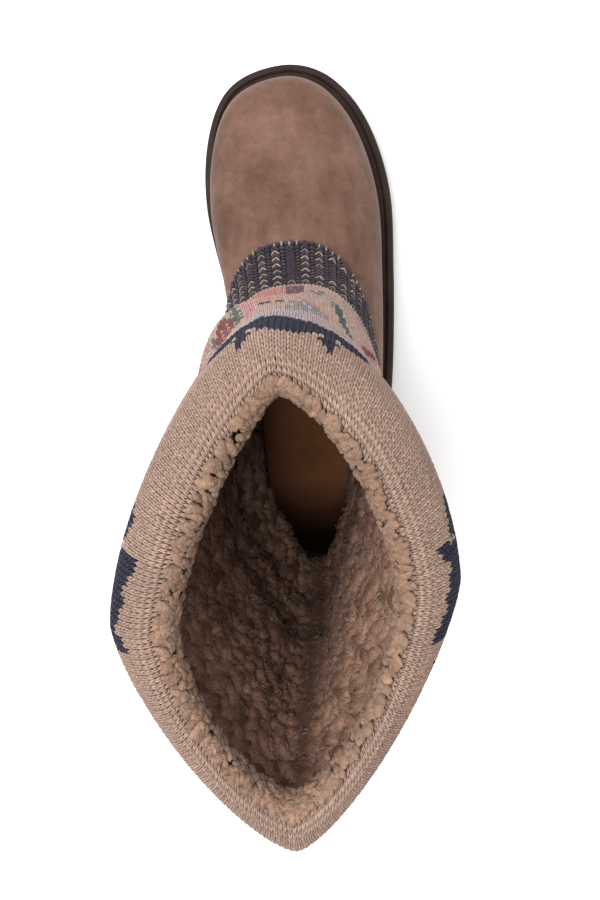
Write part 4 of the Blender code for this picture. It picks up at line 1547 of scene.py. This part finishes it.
@dataclass
class SuedeUpper:
    """The suede foot part, a soft wall from the feather line to the edge under the ankle band."""

    form: BootForm
    top: float = 7.62
    wall: float = 0.0030
    around: int = 208
    gap: float = 0.0004

    def build(self, suede: bpy.types.Material, inside: bpy.types.Material) -> bpy.types.Object:
        """Builds the wall, with its lining's finish on the inner face."""
        turns = np.arange(self.around) * 360.0 / self.around
        outer = np.linspace(0, self.top, 72)
        inner = np.linspace(self.top, 0, 30)
        rings = np.concatenate([
            self.form.surface(outer, turns, np.zeros(len(outer))),
            self.form.surface(inner, turns, np.full(len(inner), -self.wall)),
        ])
        points = rings.reshape(-1, 3)
        seat = self.form.sole.heights(self.form.sole.heel_rest - points[:, 1])[0] + self.gap
        points[:, 2] = np.maximum(points[:, 2], seat)
        faces = MeshMaker.grid_faces(len(rings), self.around, closed=True)
        row = np.repeat(np.arange(len(rings)), self.around)
        finish = (row >= len(outer)).astype(int)
        return MeshMaker.make("suede_upper", points, faces[:, ::-1], [suede, inside], finish)


@dataclass
class MouldedSole:
    """The moulded sole with its side groove, toe spring, arch and cross grooves in the tread."""

    sizes: SoleSizes
    around: int = 240

    def build(self, rubber: bpy.types.Material) -> bpy.types.Object:
        """Builds the sole and cuts its tread."""
        turns = np.arange(self.around) * 360.0 / self.around
        edge, groove = self.sizes.edge_radius, self.sizes.side_groove
        wall = [
            (0.00, edge), (0.02, 0.60 * edge), (0.05, 0.28 * edge), (0.11, 0.0), (0.30, 0.0),
            (0.325, groove * 0.8), (0.345, groove), (0.375, groove), (0.395, groove * 0.8), (0.42, 0.0),
            (0.54, -0.0003), (0.66, -0.0004),
            (0.80, -0.0003), (0.90, 0.0), (0.945, 0.12 * edge), (0.98, 0.50 * edge), (1.00, edge),
            (1.015, 1.35 * edge), (1.00, 1.70 * edge), (0.96, 1.95 * edge), (0.955, 2.4 * edge),
        ]
        base = self.sizes.outline(turns, self.sizes.length, 0.0, self.sizes.inner, self.sizes.outer)
        rings = []
        for up, inset in wall:
            ring = self.sizes.inset(base, inset)
            top, bottom = self.sizes.heights(ring[:, 1])
            rings.append(self.sizes.placed(ring, mix(bottom, top, up)))
        faces = np.concatenate([
            MeshMaker.grid_faces(len(rings), self.around, closed=False),
            MeshMaker.cap_faces(self.around, 0, upwards=False),
            MeshMaker.cap_faces(self.around, (len(rings) - 1) * self.around, upwards=True),
        ])
        sole = MeshMaker.make("moulded_sole", np.concatenate(rings), faces, [rubber])
        cutter = self._cutter(base, rubber)
        cut = sole.modifiers.new("tread", "BOOLEAN")
        cut.operation, cut.solver, cut.object = "DIFFERENCE", "EXACT", cutter
        applied(sole)
        bpy.data.objects.remove(cutter)
        sole.data.set_sharp_from_angle(angle=math.radians(38))
        return sole

    def _cutter(self, base: Array, rubber: bpy.types.Material) -> bpy.types.Object:
        """All the tread's grooves as one set of bars."""
        length, pitch = self.sizes.length, self.sizes.lug_pitch
        heel_lugs = np.arange(0.075 * length, 0.30 * length, pitch)
        places = [*heel_lugs, *np.arange(0.53 * length, 0.93 * length, pitch)]
        half = self.around // 2
        inner, outer = base[: half + 1], np.concatenate([base[half:], base[:1]])
        points, faces = [], []
        for along in places:
            right = np.interp(along, inner[::-1, 1], inner[::-1, 0]) - self.sizes.lug_margin
            left = np.interp(along, outer[:, 1], outer[:, 0]) + self.sizes.lug_margin
            floor = self.sizes.heights(np.array([along]))[1][0]
            y, reach = self.sizes.heel_rest - along, self.sizes.lug_groove_width / 2
            low, high = floor - 0.01, floor + self.sizes.lug_groove_depth
            start = len(points)
            for z in (low, high):
                near, far = y - reach, y + reach
                points += [(left, near, z), (right, near, z), (right, far, z), (left, far, z)]
            box = [(3, 2, 1, 0), (4, 5, 6, 7), (0, 1, 5, 4), (1, 2, 6, 5), (2, 3, 7, 6), (3, 0, 4, 7)]
            faces += [tuple(start + corner for corner in face) for face in box]
        return MeshMaker.make("tread_cutter", np.array(points), np.array(faces), [rubber])


@dataclass
class Footbed:
    """The brushed insole that lies on the sole inside the upper."""

    sizes: SoleSizes
    thickness: float = 0.0048
    edge: float = 0.0012
    clearance: float = 0.0034
    gap: float = 0.0004
    around: int = 240

    def build(self, nap: bpy.types.Material) -> bpy.types.Object:
        """Builds the footbed as a thin closed plate."""
        turns = np.arange(self.around) * 360.0 / self.around
        feather = self.sizes.feather(turns)
        rings = []
        for up, inset in ((0, self.edge), (self.edge, 0), (self.thickness - self.edge, 0),
                          (self.thickness - 0.3 * self.edge, 0.35 * self.edge), (self.thickness, self.edge)):
            ring = self.sizes.inset(feather, self.clearance + inset)
            rings.append(self.sizes.placed(ring, self.sizes.heights(ring[:, 1])[0] + self.gap + up))
        faces = np.concatenate([
            MeshMaker.grid_faces(len(rings), self.around, closed=False),
            MeshMaker.cap_faces(self.around, 0, upwards=False),
            MeshMaker.cap_faces(self.around, (len(rings) - 1) * self.around, upwards=True),
        ])
        return MeshMaker.make("footbed", np.concatenate(rings), faces, [nap])


# ---------------------------------------------------------------- the studio


@dataclass
class Studio:
    """Plain pale floor, soft light and the camera at the photograph's angle."""

    camera_place: Colour = (-0.0227, -0.1030, 0.655)
    camera_turn: Colour = (-8.0185, 2.2190, 175.1875)
    focal_length: float = 46.0
    key_energy: float = 31.0
    side_share: float = 0.15
    sky: float = 0.98

    def build(self) -> None:
        """Sets the floor, the lights, the sky and the camera."""
        self._camera()
        self._floor()
        self._lights()
        bpy.context.scene.view_settings.view_transform = "Standard"

    def _camera(self) -> None:
        """Looks almost straight down on the boot, from above its instep."""
        lens = bpy.data.cameras.new("camera")
        lens.lens, lens.sensor_width, lens.sensor_fit = self.focal_length, 36.0, "AUTO"
        lens.clip_start, lens.clip_end = 0.01, 20.0
        camera = bpy.data.objects.new("camera", lens)
        camera.location = self.camera_place
        camera.rotation_euler = [math.radians(angle) for angle in self.camera_turn]
        bpy.context.scene.collection.objects.link(camera)
        bpy.context.scene.camera = camera

    def _floor(self) -> None:
        """A wide, plain, pale floor."""
        graph = ShaderGraph("pale floor", 0.8)
        speck = graph.ramp(graph.noise(8.0, 2.0), [(0.3, (0.925, 0.925, 0.93)), (0.7, (0.94, 0.94, 0.94))])
        finish = graph.finish(speck, specular=0.1)
        points = np.array([(-4, -4, 0), (4, -4, 0), (4, 4, 0), (-4, 4, 0)], dtype=float)
        floor = MeshMaker.make("floor", points, np.array([[0, 1, 2, 3]]), [finish])

    def _lights(self) -> None:
        """A large soft light overhead, a weaker one from the side, and an even sky."""
        world = bpy.data.worlds.new("sky")
        world.use_nodes = True
        background = world.node_tree.nodes["Background"]
        background.inputs["Color"].default_value = (1.0, 0.995, 0.985, 1.0)
        background.inputs["Strength"].default_value = self.sky
        bpy.context.scene.world = world
        self._panel("overhead", (0.31, -0.27, 1.65), (0.0, -0.05, 0.2), 0.9, self.key_energy)
        self._panel("side", (1.3, -0.30, 1.4), (0.0, 0.0, 0.2), 1.0, self.key_energy * self.side_share)

    def _panel(self, name: str, place: Colour, aim: Colour, size: float, energy: float) -> None:
        """A square panel light that faces its aim."""
        light = bpy.data.lights.new(name, "AREA")
        light.size, light.energy = size, energy
        lamp = bpy.data.objects.new(name, light)
        way = np.array(place) - np.array(aim)
        way /= np.linalg.norm(way)
        lamp.location = place
        lamp.rotation_euler = (math.acos(way[2]), 0.0, math.atan2(way[0], -way[1]))
        bpy.context.scene.collection.objects.link(lamp)


# ---------------------------------------------------------------- putting it together


class Run(NamedTuple):
    """Stitches side by side in one yarn, from the first wale to the last, counted from the motif's left."""

    first: int
    last: int
    key: str = "n"


MOTIF_WALES = 54
WHOLE = (Run(12, 42),)
PEAK_ROWS = (
    ((), (Run(20, 22), Run(36, 36))),
    ((), (Run(20, 24), Run(27, 28), Run(34, 36))),
    ((), (Run(20, 31), Run(34, 36))),
    ((Run(19, 19), Run(35, 35)), (Run(20, 36),)),
    ((Run(19, 20), Run(25, 29), Run(34, 35)), (Run(14, 15), Run(20, 35))),
    ((Run(19, 21), Run(24, 31), Run(33, 35)), (Run(14, 17), Run(19, 19, "c"), Run(20, 35), Run(37, 38))),
    ((Run(19, 35), Run(22, 22, "c"), Run(32, 32, "c")), (Run(13, 40), Run(19, 19, "c"))),
    ((Run(18, 36), Run(21, 22, "c"), Run(32, 33, "c")), (Run(13, 41), Run(19, 20, "c"), Run(36, 36, "c"))),
    ((Run(18, 36), Run(21, 21, "c"), Run(33, 33, "c")), (Run(13, 42),)),
    ((Run(19, 35), Run(21, 21, "c"), Run(33, 33, "c")), (Run(13, 42),)),
    ((Run(19, 35),), WHOLE),
    ((Run(18, 36, "c"), Run(19, 35)), WHOLE),
    ((Run(16, 38), Run(18, 18, "c"), Run(36, 36, "c")), WHOLE),
    ((Run(15, 39), Run(18, 18, "c"), Run(36, 36, "c")), WHOLE),
    ((Run(14, 40),), WHOLE),
    ((Run(13, 41),), WHOLE),
    (WHOLE, WHOLE),
    (WHOLE + (Run(24, 30, "l"),), WHOLE),
    (WHOLE + (Run(24, 30, "l"),), WHOLE),
    (WHOLE + (Run(20, 34, "l"),), WHOLE),
    (WHOLE + (Run(20, 34, "l"),), WHOLE),
    (WHOLE + (Run(16, 38, "l"),), WHOLE),
)


def drawn(runs: Sequence[Run]) -> str:
    """One motif's row as a line of keys; a later run lies over an earlier one."""
    keys = [" "] * MOTIF_WALES
    for run in runs:
        keys[run.first:run.last + 1] = run.key * (run.last + 1 - run.first)
    return "".join(keys)


# The peaks stand on two beige rows and a cream one; the front's motif comes first, then the side's.
NAVY_PEAKS = tuple(drawn(front) + drawn(side) for front, side in PEAK_ROWS) + ("l", "l", "c")

FLOWER_BELT = (
    "llllllllllllllllllllllllllllllllllllllllllllllllllllll",
    "lclllclllcllclllclylylylylyllclclcllcllclclclclclclclc",
    "yylylylyylcccccccclylylylylycccccccccccccccccccccccccc",
    "llllllccccccccccccyyyylylyyccccccccccccccccccccccccccc",
    "lllllcccccctccccccylylyyyylycccccccccccccccccccccccccc",
    "llllcccccccttccsccyyyylylyyycccccccccccccccccccccccccc",
    "lllccccccctttccsscyylyyyylyyyyycyyccrccccccccccccccccc",
    "llcccccccccttcccssylyyyylyyyccccccccrcccgcccccccgccccc",
    "lcccccccrccctgcccssyyylyyylyccccccccrrcgccbbbccggccccc",
    "ccccccrrrcccgtccccssyylyyycyccccccccrrcggbbbbbcgcccccc",
    "cccccrrrrccttttccccsyylyyycccccccccrrrgggbsbsbbggccccc",
    "ccccrbbrcccctttccccssyylyycccccccccrrcggcbbpbbbgrccccc",
    "cccrbbbrccccctgcccccsyylycyccccccccrrccggbspsbbrrccccc",
    "ccrrbbrccccccttccccccsylyyyccccccccrrcggtbbpbbbgrccccc",
    "crrbbrccccccctttccccccsyccccnncnnncrsccggbsbsbbggccccc",
    "rrbbrccccccccctgcccccccscccccccccccrrcggcbbbbbcgrccccc",
    "rbbrccccccccccttccccccccscccssssssscsrcggcbbbbcgccrccc",
    "rbrccccccccccctttcccccccsscccssssscccrcgccbbbccccrrccc",
    "crccccccccccccctcccccccccsscccsssssssrggcccbccccccrccc",
    "cccccccccccccccttccccccccsssscccccccsrcggccccccccccccc",
    "cccccccccccccccctcccccccccsscccccccccccccccccccccccccc",
)

BLOCK_BELT = (
    "ccccccccccccccccppppccrcrcrcrcrccccc",
    "ccccccccccggcccppppprsrsrsrrlrslcccc",
    "ccccccccccccgccppyppsrsrsrsrrsrrrccc",
    "cccccccccggccccppppprsrsrslrsrlrrccc",
    "cccccccccccccccpppypsrsrsrsrsrsrrccc",
    "cccccccccccccccppppprrsrrsrrsrrscccc",
)

BORDERS = (
    Border(119, NAVY_PEAKS, 79),
    Border(104, ("nccccn", "cnccnc", "ccnncc", "ccnncc", "cnccnc", "nccccn"), 2),
    Border(98, ("rrcc", "crrc")),
    Border(88, ("gccgcccc", "cggccccc", "ccgcccrr", "cccccccr", "tccctccc")),
    Border(80, ("ll", "cc", "yy")),
    Border(56, FLOWER_BELT, 80),
    Border(34, ("dccd", "cddc", "cccc", "yccy")),
    Border(20, ("cccrcccc", "ccrrrccc", "crrprrcc", "ccrrrccc", "cccrcccc"), 3),
    Border(13, ("tccccc", "ccgccc")),
    Border(1, BLOCK_BELT, 90),
)


class Boot:
    """The whole boot: it builds each sub-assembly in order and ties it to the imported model."""

    def __init__(self) -> None:
        """Sets up the loft and the finishes."""
        self.sizes = SoleSizes()
        self.form = BootForm(self.sizes, LegSizes())
        self.yarn = YarnFinish("knit yarn").make()
        # the backing is darkened to 0.40 as painted shade, so the gaps between the knit's strands and the
        # band's ribs read dark
        self.backing = YarnFinish("knit backing", shade=0.40).make()
        # sherpa colours: painted shade for the creases, then middle and crest
        fleece = (0.122, 0.061, 0.042), (0.300, 0.172, 0.121), (0.350, 0.216, 0.156)
        self.pile = FleeceFinish("sherpa pile", *fleece).make()
        self.curls = CurlFinish("sherpa curls").make()
        suede = (0.094, 0.051, 0.037), (0.138, 0.078, 0.058), (0.181, 0.108, 0.083)
        self.suede = SuedeFinish("suede", *suede).make()
        self.rubber = RubberFinish("sole rubber", (0.017, 0.009, 0.0075), (0.033, 0.020, 0.015)).make()
        self.footbed = FootbedFinish("footbed nap", (0.350, 0.168, 0.078), (0.500, 0.258, 0.128)).make()
        # the foot lining takes the footbed's finish, so it too has the painted shadow towards the heel
        lining = (0.125, 0.070, 0.046), (0.175, 0.104, 0.070)
        self.inner_suede = FootbedFinish("foot lining", *lining).make()

    def report(self, piece: bpy.types.Object, slot: str, replaced: Optional[str]) -> None:
        """Ties a piece to the boot, hides the solid that it stands for, and logs its triangles and slot."""
        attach(piece, "root")
        if replaced:
            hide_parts(replaced)
        faces = sum(len(polygon.vertices) - 2 for polygon in piece.data.polygons)
        LOG.info("%s: %d triangles, slot %s", piece.name, faces, slot)

    def build(self) -> None:
        """Builds every sub-assembly from the sole up."""
        self.report(MouldedSole(self.sizes).build(self.rubber), "sole", "outsole")
        self.report(Footbed(self.sizes).build(self.footbed), "insole", "insole")
        self.report(SuedeUpper(self.form).build(self.suede, self.inner_suede), "suede", "upper")
        for piece in AnkleBand(self.form).build(self.yarn, self.backing):
            self.report(piece, "rib", "ankle_band")
        shaft = KnitShaft(self.form)
        rows = len(shaft.rows())
        LOG.info("the shaft has %d rows", rows)
        chart = KnitChart(rows, shaft.wales, BORDERS, Yarn.BEIGE, Yarn.CREAM, 122)
        for piece in shaft.build(chart, self.yarn, self.backing):
            self.report(piece, "knit", "shaft")
        for piece in FleeceLining(self.form).build(self.pile, self.curls):
            self.report(piece, "knit", "shaft")


def main() -> None:
    """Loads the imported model, dresses it and sets the studio."""
    logging.basicConfig(level=logging.INFO, format="%(name)s %(message)s")
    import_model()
    Boot().build()
    Studio().build()


if __name__ == "__main__":
    main()
